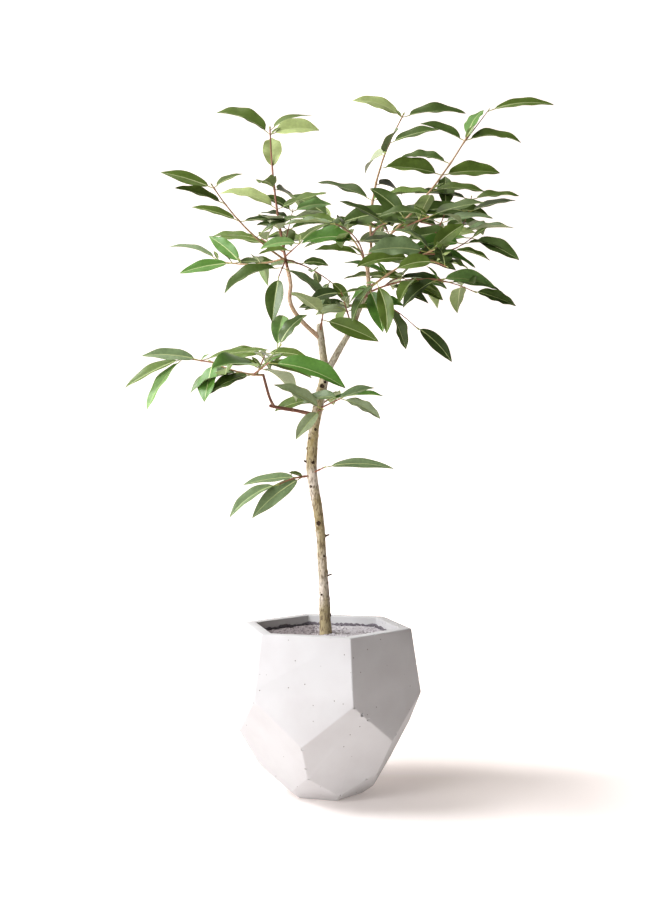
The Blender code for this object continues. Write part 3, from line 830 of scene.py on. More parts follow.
@dataclass
class SoilBed:
    """The soil in the pot: a crusted surface that has shrunk from the wall, under loose crumbs.

    Waves are the noises of a surface, each a strength and how many of its lumps go into a metre.
    """

    pot: FacetedPot
    level: float = 0.279
    skirt: float = 0.018
    spokes: int = 180
    rings: int = 70
    ring_spread: float = 0.9
    shrink: tuple = (0.0008, 0.0060)
    shrink_waves: tuple = ((0.9, 3.1), (0.35, 17.0))
    sunk: float = 0.0020
    crust_waves: tuple = ((0.0022, 22), (0.0015, 70), (0.0010, 190), (0.0006, 420))
    mound: float = 0.0035
    mound_reach: float = 0.03
    edge_start: float = 0.965
    edge_drop: float = 0.0045
    skirt_gap: float = 0.0005
    crust_shades: tuple = (0, 0, 0, 1)
    crumbs: int = 2600
    crumb_size: tuple = (0.0004, 0.0020)
    crumb_rarity: int = 3
    crumb_edge: float = 1.8
    crumb_gap: float = 0.001
    crumb_rise: float = 0.25
    crumb_tilt: float = 0.5
    crumb_stretch: tuple = ((0.8, 1.4), (0.7, 1.1), (0.5, 0.8))
    crumb_lump: float = 0.45
    crumb_pace: float = 1.7
    crumb_drift: float = 700
    grain_size: float = 0.0009
    cling: tuple = (0.0008, 0.0050)
    cling_waves: tuple = ((0.8, 6.0), (0.6, 31.0))
    cling_share: float = 0.4
    cling_insets: tuple = (0.0026, 0.0016, 0.0004)
    cling_foot: float = 0.006
    cling_crest: float = 0.0010
    # Where the soil darkens toward the left as painted shadow of the wall, how fast it fades, and
    # its ragged edge.
    painted_shade_edge: float = -0.008
    painted_shade_fade: float = 0.036
    painted_shade_drift: float = 0.6
    painted_shade_pace: float = 60
    painted_shade_layer: float = 3.0
    trunk_radius: float = 0.013
    finish: SoilDressing = SoilDressing()

    def gap(self, angle: float) -> float:
        """Return how far the crust stands off the wall at a compass angle."""
        share = max(0.0, min(1.0, roughen(0.5, toward(angle), self.shrink_waves)))
        return self.shrink[0] + share * (self.shrink[1] - self.shrink[0])

    def height(self, x: float, y: float) -> float:
        """Return the height of the crust at a place."""
        relief = roughen(0.0, Vector((x, y, 0.0)), self.crust_waves)
        mound = self.mound * math.exp(-(math.hypot(x, y) / self.mound_reach) ** 2)
        return self.level - self.sunk + relief + mound

    def in_painted_shade(self, x: float, y: float, rule: random.Random) -> bool:
        """Tell whether a bit of soil takes the darker shades, a painted shadow of the wall that
        covers most soil left of the trunk and ends raggedly.

        Args:
            x: its place from left to right.
            y: its place from front to back.
            rule: the dealer of chances.

        Returns:
            True for soil in the painted shadow.
        """
        drift = self.painted_shade_drift * noise.noise(
            Vector((x * self.painted_shade_pace, y * self.painted_shade_pace, self.painted_shade_layer)))
        return rule.random() < 0.5 + (self.painted_shade_edge - x) / self.painted_shade_fade + drift

    def build(self) -> bpy.types.Object:
        """Build the crust and its crumbs.

        Returns:
            The soil.
        """
        parts = MeshBin()
        skins, painted_shade_skins = ([parts.slot(material) for material in shades] for shades in (
            self.finish.materials(), PAINTED_SHADE_DRESSING.materials()))
        places, faces = [], []
        for ring in range(self.rings + 1):
            for spoke in range(self.spokes):
                angle = math.tau * spoke / self.spokes
                edge = self.pot.inner_reach(angle, self.level) - self.gap(angle)
                share = ring / self.rings
                reach = edge * share ** self.ring_spread
                x, y = reach * math.cos(angle), reach * math.sin(angle)
                last = max(0.0, (share - self.edge_start) / (1 - self.edge_start))
                drop = self.edge_drop * last ** 2
                places.append(Vector((x, y, self.height(x, y) - drop)))
        rim = self.rings * self.spokes
        for spoke in range(self.spokes):
            angle = math.tau * spoke / self.spokes
            edge = self.pot.inner_reach(angle, self.level - self.skirt) - self.skirt_gap
            places.append(Vector((edge * math.cos(angle), edge * math.sin(angle),
                                  self.level - self.skirt)))
        places.append(Vector((0.0, 0.0, self.level - self.skirt)))
        for ring in range(self.rings + 1):
            for spoke in range(self.spokes):
                near, far = ring * self.spokes + spoke, (ring * self.spokes
                                                         + (spoke + 1) % self.spokes)
                faces.append((near, near + self.spokes, far + self.spokes, far))
        for spoke in range(self.spokes):
            near, far = rim + self.spokes + spoke, rim + self.spokes + (spoke + 1) % self.spokes
            faces.append((near, len(places) - 1, far))
        rule = random.Random("soil crust")
        # Crust faces on the left take the darker shades, as painted shadow of the wall.
        shades = [
            (painted_shade_skins if self.in_painted_shade(*places[face[0]].xy, rule) else skins)[
                rule.choice(self.crust_shades)] for face in faces]
        parts.add(places, faces, shades)
        for _ in range(self.crumbs):
            self.add_crumb(parts, rule, skins, painted_shade_skins)
        self.add_cling(parts)
        return settle(parts.build("crumbled_soil"), "soil", "soil")

    def add_cling(self, parts: MeshBin) -> None:
        """Add the ragged rim of soil that clings to the wall above the crust, coloured dark as
        painted shade where the crust meets the wall.

        Args:
            parts: the bin that holds the soil.
        """
        skin = parts.slot(PAINTED_SHADE_CLING.material())
        foot = self.level - self.cling_foot
        thick, thin, touching = self.cling_insets
        places = []
        for spoke in range(self.spokes):
            angle = math.tau * spoke / self.spokes
            spot = toward(angle)
            share = max(0.0, roughen(self.cling_share, spot, self.cling_waves))
            top = self.level + self.cling[0] + share * (self.cling[1] - self.cling[0])
            profile = ((thick, foot), (thin, top - self.cling_crest), (touching, top),
                       (touching, foot))
            for inset, height in profile:
                reach = self.pot.inner_reach(angle, height) - inset
                places.append(spot * reach + UP * height)
        corners = len(profile)
        faces = []
        for spoke in range(self.spokes):
            near, far = spoke * corners, (spoke + 1) % self.spokes * corners
            for corner in range(corners):
                after = (corner + 1) % corners
                faces.append((near + corner, near + after, far + after, far + corner))
        parts.add(places, faces, [skin] * len(faces))

    def add_crumb(self, parts: MeshBin, rule: random.Random, skins: list, painted_shade_skins: list) -> None:
        """Add one crumb, partly sunk in the crust.

        Args:
            parts: the bin that holds the soil.
            rule: the dealer of chances.
            skins: the material numbers of dry crumbs.
            painted_shade_skins: the material numbers of crumbs darkened as painted shadow.
        """
        angle = rule.uniform(0, math.tau)
        least, most = self.crumb_size
        size = least + (most - least) * rule.random() ** self.crumb_rarity
        edge = self.pot.inner_reach(angle, self.level) - size * self.crumb_edge - self.crumb_gap
        reach = max(edge * math.sqrt(rule.random()), self.trunk_radius + size)
        x, y = reach * math.cos(angle), reach * math.sin(angle)
        middle = Vector((x, y, self.height(x, y) + size * self.crumb_rise))
        turn = Matrix.Rotation(rule.uniform(0, math.tau), 3, "Z") @ Matrix.Rotation(
            rule.uniform(-self.crumb_tilt, self.crumb_tilt), 3, "X")
        stretch = Vector([rule.uniform(*span) for span in self.crumb_stretch])
        corners, sides = GRAIN_BALL if size < self.grain_size else CRUMB_BALL
        places = [
            middle + turn @ Vector(a * b for a, b in zip(corner, stretch))
            * size * (1 + self.crumb_lump * noise.noise(
                corner * self.crumb_pace + middle * self.crumb_drift))
            for corner in corners]
        # Crumbs on the left take the darker shades, as painted shadow of the wall.
        skin = rule.choice(painted_shade_skins if self.in_painted_shade(x, y, rule) else skins)
        parts.add(places, sides, [skin] * len(sides))


def ball(steps: int) -> tuple[list, list]:
    """Return the corners and faces of a ball of one metre radius.

    Args:
        steps: how often its twenty faces are parted, plus one.

    Returns:
        Its corners, and each face's corner numbers.
    """
    block = bmesh.new()
    bmesh.ops.create_icosphere(block, subdivisions=steps, radius=1.0)
    corners = [corner.co.copy() for corner in block.verts]
    faces = [tuple(corner.index for corner in face.verts) for face in block.faces]
    block.free()
    return corners, faces


CRUMB_BALL = ball(2)
GRAIN_BALL = ball(1)


@dataclass(frozen=True)
class Scar:
    """A healed leaf or branch scar: its height, compass heading, radius and how proud it is.

    Its rim and its pit lie and spread by shares of its radius.
    """

    height: float
    heading: float
    radius: float
    proud: float
    rim_place: float = 0.75
    rim_spread: float = 0.35
    pit_depth: float = 0.9
    pit_spread: float = 0.4

    def out(self) -> Vector:
        """Return the direction that it faces."""
        return toward(math.radians(self.heading))

    def rise(self, away: float) -> float:
        """Return how far the bark stands out at a distance from the scar's middle."""
        share = away / self.radius
        rim = math.exp(-((share - self.rim_place) / self.rim_spread) ** 2)
        return self.proud * (rim - self.pit_depth * math.exp(-(share / self.pit_spread) ** 2))


@dataclass(frozen=True)
class Stub:
    """The short end of a pruned limb.

    It stands at a share of its limb's length, points along a compass heading, and has a length
    out of the bark and a diameter.
    """

    share: float
    heading: float
    length: float
    thick: float


@dataclass
class WoodyLimb:
    """A limb with the bark's relief: slow lumps, node rings, lengthwise cracks and scars."""

    name: str
    route: tuple
    sides: int
    bark: Bark
    step: float = 0.0016
    lumps: float = 0.055
    lump_waves: tuple = ((1.6, 38), (1.0, 95))
    cracks: float = 0.022
    crack_pace: tuple = (620, 620, 170)
    grit_share: float = 0.5
    grit_pace: float = 1100
    longest: float = 1.0
    node_gap: tuple = (0.016, 0.034)
    node_strength: tuple = (0.4, 1.0)
    node_rise: float = 0.07
    node_length: float = 0.0022
    node_side: float = 0.7
    branch: bool = True
    collar: float = 0.35
    collar_length: float = 0.006
    least_tip: float = 0.04
    scar_heart: float = 0.78
    girth: float = 1.0
    scars: tuple = ()
    stubs: tuple = ()
    stub_sides: int = 16
    stub_steps: int = 9
    stub_lift: float = 0.4
    stub_foot: float = 1.25
    stub_taper: float = 0.45
    stub_end: float = 0.82
    stub_waves: tuple = ((0.16, 260), (0.08, 700))

    def points(self) -> list:
        """Return the fine points of the limb's middle."""
        return smooth_route(self.route, self.step)

    def nodes(self) -> list:
        """Deal out the limb's old leaf nodes.

        Returns:
            Each node's place up the limb, its strength and the side it faces.
        """
        rule = random.Random(f"{self.name} nodes")
        places, reach = [], rule.uniform(*self.node_gap)
        while reach < self.longest:
            places.append((reach, rule.uniform(*self.node_strength), rule.uniform(0, math.tau)))
            reach += rule.uniform(*self.node_gap)
        return places

    def build(self) -> bpy.types.Object:
        """Build the limb and dress it.

        Returns:
            The limb.
        """
        points = self.points()
        runs = [0.0]
        for a, b in zip(points, points[1:]):
            runs.append(runs[-1] + (Vector(b[:3]) - Vector(a[:3])).length)
        nodes = self.nodes()

        def width(number: int, radius: float, angle: float, spot: Vector) -> float:
            """Return the radius at a place on the bark.

            Args:
                number: which ring it is on, from the foot.
                radius: the ring's plain radius.
                angle: the angle round the ring.
                spot: the place on the plain ring.

            Returns:
                The radius.
            """
            radius *= self.girth
            run, rest = runs[number], runs[-1] - runs[number]
            share = 1 + self.lumps * roughen(0.0, spot, self.lump_waves)
            share += self.cracks * noise.noise(
                Vector([a * b for a, b in zip(spot, self.crack_pace)]))
            share += self.cracks * self.grit_share * noise.noise(spot * self.grit_pace)
            if self.branch:
                share += self.collar * math.exp(-run / self.collar_length)
            for place, rise, turn in nodes:
                ring = math.exp(-((run - place) / self.node_length) ** 2)
                side = 1 + self.node_side * math.cos(angle - turn)
                share += self.node_rise * rise * ring * side
            reach = radius * share
            for scar in self.scars:
                middle = Vector((points[number][0], points[number][1], scar.height))
                reach += scar.rise((spot - middle - scar.out() * radius).length)
            if self.branch and rest < radius:
                reach *= math.sqrt(max(self.least_tip, 1 - (1 - rest / radius) ** 2))
            return reach

        parts = MeshBin()
        skin = parts.slot(self.bark.material())
        add_tube(parts, points, self.sides, skin, width)
        self.darken_scars(parts, points)
        wood = parts.slot(CUT_WOOD.material()) if self.stubs else skin
        for stub in self.stubs:
            self.add_stub(parts, points, stub, wood)
        return settle(parts.build(f"{self.name}_bark"), "bark", self.name)

    def darken_scars(self, parts: MeshBin, points: list) -> None:
        """Give the heart of each scar the colour of dead bark.

        Args:
            parts: the bin that holds the bark.
            points: the limb's middle.
        """
        if not self.scars:
            return
        dead = parts.slot(DEAD_BARK.material())
        hearts = []
        for scar in self.scars:
            at = min(points, key=lambda point: abs(point[2] - scar.height))
            hearts.append((Vector((at[0], at[1], scar.height)) + scar.out() * at[3] / 2,
                           scar.radius * self.scar_heart))
        for number, face in enumerate(parts.faces):
            middle = sum((parts.places[corner] for corner in face), Vector()) / len(face)
            if any((middle - heart).length < reach for heart, reach in hearts):
                parts.skins[number] = dead

    def add_stub(self, parts: MeshBin, points: list, stub: Stub, wood: int) -> None:
        """Add the short end of a pruned limb.

        Args:
            parts: the bin that takes it.
            points: the limb's middle.
            stub: where it stands, and its size.
            wood: the material number of its dead wood.
        """
        place, _ = along(points, stub.share)
        out = (toward(math.radians(stub.heading)) + UP * self.stub_lift).normalized()
        reach = stub.length + stub.thick
        steps = self.stub_steps
        line = [(*(place + out * reach * step / steps),
                 stub.thick * (self.stub_foot - self.stub_taper * step / steps))
                for step in range(steps + 1)]

        def width(number: int, radius: float, angle: float, spot: Vector) -> float:
            """Return the radius at a place on the stub.

            Args:
                number: which ring it is on, from the foot.
                radius: the ring's plain radius.
                angle: the angle round the ring; not used.
                spot: the place on the plain ring.

            Returns:
                The radius.
            """
            worn = roughen(1.0, spot, self.stub_waves)
            return radius * worn * (self.stub_end if number == steps else 1.0)

        add_tube(parts, line, self.stub_sides, wood, width)


@dataclass(frozen=True)
class Shoot:
    """One leafy twig, by the same rule as its solid.

    It leaves its parent at a share of that parent's length, ends at its tip, and its middle
    is pushed aside by its bow. Each pair of leaves stands at a share of its length. One leaf
    points along the pair's compass heading, where 0 is right and 90 is away, and the other
    points the opposite way. Both set out at the pair's rise above the horizon, unless a fourth
    value gives the other leaf its own rise, or None where that leaf has fallen.
    """

    parent: str
    share: float
    tip: tuple
    radius: float
    leaf: float
    pairs: tuple
    bow: tuple = (0.0, 0.0, 0.0)
    breadth: float = 1.0


@dataclass
class Leaf:
    """One leaf: where it springs from and how its midrib and blade lie."""

    root: Vector
    aim: Vector
    length: float
    width: float
    droop: float
    twist: float
    fold: float

    # Blades turn their faces this way.
    light: ClassVar[Vector] = Vector((-0.20, -0.80, 0.80)).normalized()

    def frame(self, share: float) -> tuple[Vector, Vector, Vector]:
        """Return the midrib's place, its direction and the blade's normal at a share.

        Args:
            share: the share of the leaf's length.

        Returns:
            The place, the direction and the normal.
        """
        down = -UP
        sag = (down - self.aim * down.dot(self.aim)).normalized()
        angle = self.droop * share
        reach = self.length / self.droop
        place = (self.root + self.aim * (reach * math.sin(angle))
                 + sag * (reach * (1 - math.cos(angle))))
        heading = self.aim * math.cos(angle) + sag * math.sin(angle)
        normal = (self.light - heading * self.light.dot(heading)).normalized()
        side = heading.cross(normal)
        return place, heading, normal * math.cos(self.twist) + side * math.sin(self.twist)


@dataclass(frozen=True)
class LeafRule:
    """The rule by which a shoot bears its leaves, with its angles in degrees."""

    root_depth: float = 0.0008
    first_depth: float = 0.5
    heading_jitter: float = 8
    rise_jitter: float = 6
    droop: tuple = (14, 50)
    twist: float = 26
    length_share: tuple = (0.82, 1.1)
    width_share: tuple = (0.30, 0.41)
    fold: tuple = (10, 32)

    def leaves(self, name: str, shoot: Shoot, points: list) -> list[tuple[str, Leaf]]:
        """Return the leaves that a shoot bears, pair by pair.

        Args:
            name: the shoot's name, which seeds the small differences between its leaves.
            shoot: the shoot.
            points: the points of its twig.

        Returns:
            Each leaf's own name and the leaf.
        """
        leaves = []
        for number, (share, heading, *rises) in enumerate(shoot.pairs):
            place, _ = along(points, share)
            for half, rise in enumerate((rises[0], rises[-1])):
                if rise is None:
                    continue
                rule = random.Random(f"{name} {number} {half}")
                compass = math.radians(heading + 180 * half
                                       + rule.uniform(-self.heading_jitter, self.heading_jitter))
                slope = math.radians(rise + rule.uniform(-self.rise_jitter, self.rise_jitter))
                aim = toward(compass, slope)
                length = shoot.leaf * rule.uniform(*self.length_share)
                leaves.append((f"{name} {number} {half}", Leaf(
                    root=place - aim * self.root_depth * (self.first_depth + half),
                    aim=aim,
                    length=length,
                    width=length * shoot.breadth * rule.uniform(*self.width_share),
                    droop=math.radians(rule.uniform(*self.droop)),
                    twist=math.radians(rule.uniform(-self.twist, self.twist)),
                    fold=math.radians(rule.uniform(*self.fold)))))
        return leaves


@dataclass(frozen=True)
class LeafPattern:
    """How a leaf is drawn: a petiole, and a ribbed and folded blade with a waved margin."""

    petiole_share: float = 0.12
    petiole_radius: float = 0.00085
    petiole_sides: int = 7
    petiole_steps: int = 6
    petiole_overlap: float = 1.12
    petiole_sink: float = 0.5
    petiole_foot: float = 1.25
    petiole_waist: tuple = (0.35, 1.6)
    petiole_taper: float = 0.25
    sections: int = 22
    section_spread: float = 0.94
    foot_width: float = 1.3
    columns: tuple = (-1.0, -0.82, -0.56, -0.28, 0.28, 0.56, 0.82, 1.0)
    thickness: float = 0.00034
    rib_width: float = 0.00084
    rib_depth: float = 0.00070
    rib_taper: tuple = (1.15, 0.8)
    rib_most: float = 0.5
    rib_end: float = 1.1
    groove: float = 0.00016
    arch: float = 0.82
    wave: float = 0.055
    wave_count: tuple = (1.4, 3.2)
    wave_strength: tuple = (0.4, 1.3)
    wave_reach: float = 1.02
    wave_swell: float = 0.5
    vein: float = 0.00020
    vein_count: float = 9.0
    vein_slant: float = 1.6
    tip_width: float = 0.0004
    skew: float = 0.88
    fullness: float = 0.66
    tip_narrowing: float = 0.56
    tip_sharpness: float = 6

    def width(self, share: float) -> float:
        """Return the blade's width at a share of its length, against its widest."""
        oval = math.sin(math.pi * share ** self.skew) ** self.fullness
        return oval * (1 - self.tip_narrowing * share ** self.tip_sharpness)

    def across(self, half: float, share: float) -> list[tuple[float, float]]:
        """Return the columns of the blade at a share of its length, with the midrib's edges.

        Args:
            half: half the blade's width there.
            share: the share.

        Returns:
            Each column's share of the half width and its distance from the middle.
        """
        start, narrowing = self.rib_taper
        rib = min(half * self.rib_most, self.rib_width * (start - narrowing * share))
        columns = [(column, column * half) for column in self.columns]
        middle = len(columns) // 2
        return columns[:middle] + [(-rib / half, -rib), (rib / half, rib)] + columns[middle:]

    def add_petiole(self, parts: MeshBin, leaf: Leaf, stalk: int) -> None:
        """Add a leaf's petiole, thick at its foot and slender in its middle.

        Args:
            parts: the bin that takes it.
            leaf: how the leaf lies.
            stalk: the petiole's material number.
        """
        dip, pace = self.petiole_waist
        line = []
        for step in range(self.petiole_steps + 1):
            share = step / self.petiole_steps
            spot, _, normal = leaf.frame(self.petiole_share * self.petiole_overlap * share)
            waist = dip * math.sin(math.pi * min(1.0, share * pace))
            swell = self.petiole_foot - waist - self.petiole_taper * share
            line.append((*(spot - normal * self.petiole_radius * self.petiole_sink * share),
                         2 * self.petiole_radius * swell))
        add_tube(parts, line, self.petiole_sides, stalk)

    def add(self, parts: MeshBin, name: str, leaf: Leaf, top: int, under: int, rib: int,
            stalk: int) -> None:
        """Add one leaf.

        Args:
            parts: the bin that takes it.
            name: the leaf's name, which seeds its waves.
            leaf: how it lies.
            top: the material number of its upper face.
            under: that of its underside.
            rib: that of its midrib.
            stalk: that of its petiole.
        """
        rule = random.Random(f"{name} blade")
        # The third draw stands idle, and keeps the later ones in their places.
        phases = [rule.uniform(0, math.tau) for _ in range(3)]
        waves = rule.uniform(*self.wave_count)
        wave = self.wave * leaf.width * rule.uniform(*self.wave_strength)
        places, rows = [], []
        half_columns = len(self.columns) // 2
        for section in range(self.sections):
            share = (section / self.sections) ** self.section_spread
            spot, heading, normal = leaf.frame(self.petiole_share
                                               + (1 - self.petiole_share) * share)
            side = heading.cross(normal)
            least = (self.petiole_radius * self.foot_width * (1 - share)
                     + self.tip_width * share)
            half = max(least, leaf.width * self.width(share)) / 2
            upper, lower = [], []
            columns = self.across(half, share)
            for number, (share_across, off) in enumerate(columns):
                out = abs(share_across)
                lift = math.sin(leaf.fold) * half * out ** self.arch
                phase = phases[0] if off > 0 else phases[1]
                ripple = wave * out ** 2 * math.sin(math.tau * waves * share + phase)
                ripple *= (math.sin(math.pi * min(1.0, share * self.wave_reach))
                           ** self.wave_swell)
                bulge = self.vein * math.sin(
                    math.tau * (self.vein_count * share - self.vein_slant * out))
                bulge *= math.sin(math.pi * out)
                middle = (spot + side * (off * math.cos(leaf.fold))
                          + normal * (lift + ripple + bulge))
                on_rib = number in (half_columns, half_columns + 1)
                edge = number in (0, len(columns) - 1)
                upper.append(len(places))
                rise = 0.0 if edge else self.thickness / 2 - (self.groove if on_rib else 0.0)
                places.append(middle + normal * rise)
                if edge:
                    lower.append(upper[-1])
                    continue
                lower.append(len(places))
                drop = (self.rib_depth * (self.rib_end - share) if on_rib
                        else self.thickness / 2)
                places.append(middle - normal * drop)
            rows.append((upper, lower))
        tip = len(places)
        places.append(leaf.frame(1.0)[0])
        faces, skins, sharp = [], [], []
        for (upper, lower), (upper_after, lower_after) in zip(rows, rows[1:]):
            for number in range(len(upper) - 1):
                on_rib = number == half_columns
                faces.append((upper[number], upper_after[number],
                              upper_after[number + 1], upper[number + 1]))
                skins.append(rib if on_rib else top)
                faces.append((lower[number], lower[number + 1],
                              lower_after[number + 1], lower_after[number]))
                skins.append(rib if on_rib else under)
            sharp += [(upper[0], upper_after[0]), (upper[-1], upper_after[-1])]
        upper, lower = rows[-1]
        for number in range(len(upper) - 1):
            faces += [(upper[number], tip, upper[number + 1]),
                      (lower[number], lower[number + 1], tip)]
            skins += [top, under]
        upper, lower = rows[0]
        faces.append(tuple(upper) + tuple(reversed(lower[1:-1])))
        skins.append(rib)
        parts.add(places, faces, skins, sharp)
        self.add_petiole(parts, leaf, stalk)


@dataclass
class FoliageMass:
    """A mass of foliage: twigs that branch from one stem, with buds and pairs of leaves."""

    name: str
    shoots: dict
    solid: bpy.types.Object
    lines: dict
    twig_steps: int = 6
    twig_tip_share: float = 0.5
    twig_sides: int = 9
    twig_rings: int = 5
    twig_waves: tuple = ((0.10, 300),)
    node_swell: float = 0.38
    node_length: float = 0.0028
    old_radius: float = 0.0021
    tip_reach: float = 0.0006
    sprig_chance: float = 0.22
    sprig_leaf: tuple = (0.016, 0.034)
    sprig_lift: tuple = (0.5, 1.4)
    sprig_stray: float = 0.5
    sprig_width: tuple = (0.26, 0.36)
    sprig_droop: tuple = (8, 30)
    sprig_twist: float = 30
    sprig_fold: tuple = (15, 35)
    sprig_tones: tuple = (Tone.PALE, Tone.FRESH, Tone.GREEN)
    bud_length: float = 0.0065
    bud_shape: tuple = (1.05, 1.5, 1.45, 1.1, 0.6, 0.1)
    # Chances of each tone; SHADE, PALE, SHEEN and PAINTED_GREY_SHEEN among them carry painted
    # shade, light and sheen.
    tones: tuple = (
        (Tone.SHADE, 0.15), (Tone.DEEP, 0.29), (Tone.GREEN, 0.28), (Tone.FRESH, 0.09),
        (Tone.TENDER, 0.03), (Tone.PALE, 0.01), (Tone.SHEEN, 0.12), (Tone.PAINTED_GREY_SHEEN, 0.03))
    rule: LeafRule = LeafRule()
    pattern: LeafPattern = LeafPattern()

    def twig_points(self, shoot: Shoot, foot: Vector) -> list:
        """Return the points of a twig on a bowed line to its tip.

        Args:
            shoot: the twig.
            foot: where it leaves its parent.

        Returns:
            Its points, each x, y, z and diameter.
        """
        tip = Vector(shoot.tip)
        bow = Vector(shoot.bow)
        points = []
        for number in range(self.twig_steps + 1):
            t = number / self.twig_steps
            place = foot.lerp(tip, t) + bow * (4 * t * (1 - t))
            points.append((*place, 2 * shoot.radius * (1 - (1 - self.twig_tip_share) * t)))
        return points

    def tone_of(self, name: str) -> Tone:
        """Return a leaf's tone: the one that the photograph shows, or one dealt out by chance.

        Args:
            name: the leaf's name.

        Returns:
            The tone.
        """
        if name in LEAF_TONES:
            return LEAF_TONES[name]
        rule = random.Random(f"{name} tone")
        return rule.choices([tone for tone, _ in self.tones], [share for _, share in self.tones])[0]

    def build(self) -> list[bpy.types.Object]:
        """Build the mass's leaves and twigs and dress them.

        Returns:
            The leaves and the twigs.
        """
        leaves, twigs = MeshBin(), MeshBin()
        tops = {tone: leaves.slot(MATERIALS[skin]) for tone, skin in TOPS.items()}
        unders = {tone: leaves.slot(MATERIALS[skin]) for tone, skin in UNDERSIDES.items()}
        rib, stalk = leaves.slot(MATERIALS[RIB]), leaves.slot(MATERIALS[PETIOLE])
        corners = self.solid.data.vertices
        there = KDTree(len(corners))
        for corner in corners:
            there.insert(corner.co, corner.index)
        there.balance()
        known = dict(self.lines)
        for name, shoot in self.shoots.items():
            foot, _ = along(known[shoot.parent], shoot.share)
            points = self.twig_points(shoot, foot)
            known[name] = points
            self.add_twig(twigs, f"{self.name} {name}", shoot, points)
            for leaf_name, leaf in self.rule.leaves(f"{self.name} {name}", shoot, points):
                if there.find(leaf.frame(1.0)[0])[2] > self.tip_reach:
                    continue
                tone = self.tone_of(leaf_name)
                self.pattern.add(leaves, leaf_name, leaf, tops[tone], unders[tone], rib, stalk)
                self.add_sprig(leaves, leaf_name, leaf, tops, unders, rib, stalk)
        return [settle(leaves.build(f"{self.name}_leaves"), "foliage", self.name),
                settle(twigs.build(f"{self.name}_twigs"), "bark", self.name)]

    def add_twig(self, parts: MeshBin, name: str, shoot: Shoot, points: list) -> None:
        """Add a twig with a swelling at each pair of leaves and a bud at its tip.

        Args:
            parts: the bin that takes it.
            name: the mass's name and the twig's.
            shoot: the twig.
            points: the points of its middle.
        """
        by_age = OLD_SHOOT if shoot.radius >= self.old_radius else YOUNG_SHOOT
        skin = SHOOT_SKINS.get(name, by_age)
        number_of = parts.slot(MATERIALS[skin])
        count = self.twig_steps * self.twig_rings
        line = [(*along(points, step / count)[0],
                 points[0][3] + (points[-1][3] - points[0][3]) * step / count)
                for step in range(count + 1)]
        length = sum((Vector(b[:3]) - Vector(a[:3])).length for a, b in zip(points, points[1:]))
        shares = [pair[0] for pair in shoot.pairs]

        def width(number: int, radius: float, angle: float, spot: Vector) -> float:
            """Return the radius at a place on the twig.

            Args:
                number: which ring it is on, from the foot.
                radius: the ring's plain radius.
                angle: the angle round the ring; not used.
                spot: the place on the plain ring.

            Returns:
                The radius.
            """
            reach = radius * roughen(1.0, spot, self.twig_waves)
            for share in shares:
                off = (number / count - share) * length / self.node_length
                reach += radius * self.node_swell * math.exp(-off ** 2)
            return reach

        add_tube(parts, line, self.twig_sides, number_of, width)
        tip, ahead = along(points, 1.0)
        last = len(self.bud_shape) - 1
        bud = [(*(tip + ahead * self.bud_length * step / last), points[-1][3] * swell)
               for step, swell in enumerate(self.bud_shape)]
        add_tube(parts, bud, self.twig_sides, parts.slot(MATERIALS[BUD]))

    def add_sprig(self, parts: MeshBin, name: str, leaf: Leaf, tops: dict, unders: dict,
                  rib: int, stalk: int) -> None:
        """Add a young leaf in a leaf's axil, here and there.

        Args:
            parts: the bin that takes it.
            name: the leaf's name, which seeds the young one.
            leaf: the leaf.
            tops: the material number of an upper face by tone.
            unders: that of an underside.
            rib: that of a midrib.
            stalk: that of a petiole.
        """
        rule = random.Random(f"{name} sprig")
        if rule.random() > self.sprig_chance:
            return
        length = rule.uniform(*self.sprig_leaf)
        lifted = leaf.aim + UP * rule.uniform(*self.sprig_lift)
        stray = [rule.uniform(-self.sprig_stray, self.sprig_stray) for _ in range(2)]
        young = Leaf(
            root=leaf.root + leaf.aim * self.rule.root_depth,
            aim=(lifted + Vector((*stray, 0.0))).normalized(),
            length=length,
            width=length * rule.uniform(*self.sprig_width),
            droop=math.radians(rule.uniform(*self.sprig_droop)),
            twist=math.radians(rule.uniform(-self.sprig_twist, self.sprig_twist)),
            fold=math.radians(rule.uniform(*self.sprig_fold)))
        tone = rule.choice(self.sprig_tones)
        self.pattern.add(parts, f"{name} young", young, tops[tone], unders[tone], rib, stalk)


@dataclass(frozen=True)
class SoftLight:
    """A square soft box: where it stands from the plant, how large it is and how strong."""

    name: str
    azimuth: float
    elevation: float
    away: float
    size: float
    power: float
    colour: str

    def build(self, aim: Vector) -> None:
        """Hang the light so that it faces a place.

        Args:
            aim: the place.
        """
        out = toward(math.radians(self.azimuth), math.radians(self.elevation))
        light = bpy.data.lights.new(self.name, "AREA")
        light.size = self.size
        light.energy = self.power
        light.color = linear(self.colour)[:3]
        item = bpy.data.objects.new(self.name, light)
        item.location = aim + out * self.away
        item.rotation_euler = out.to_track_quat("Z", "Y").to_euler()
        bpy.context.scene.collection.objects.link(item)


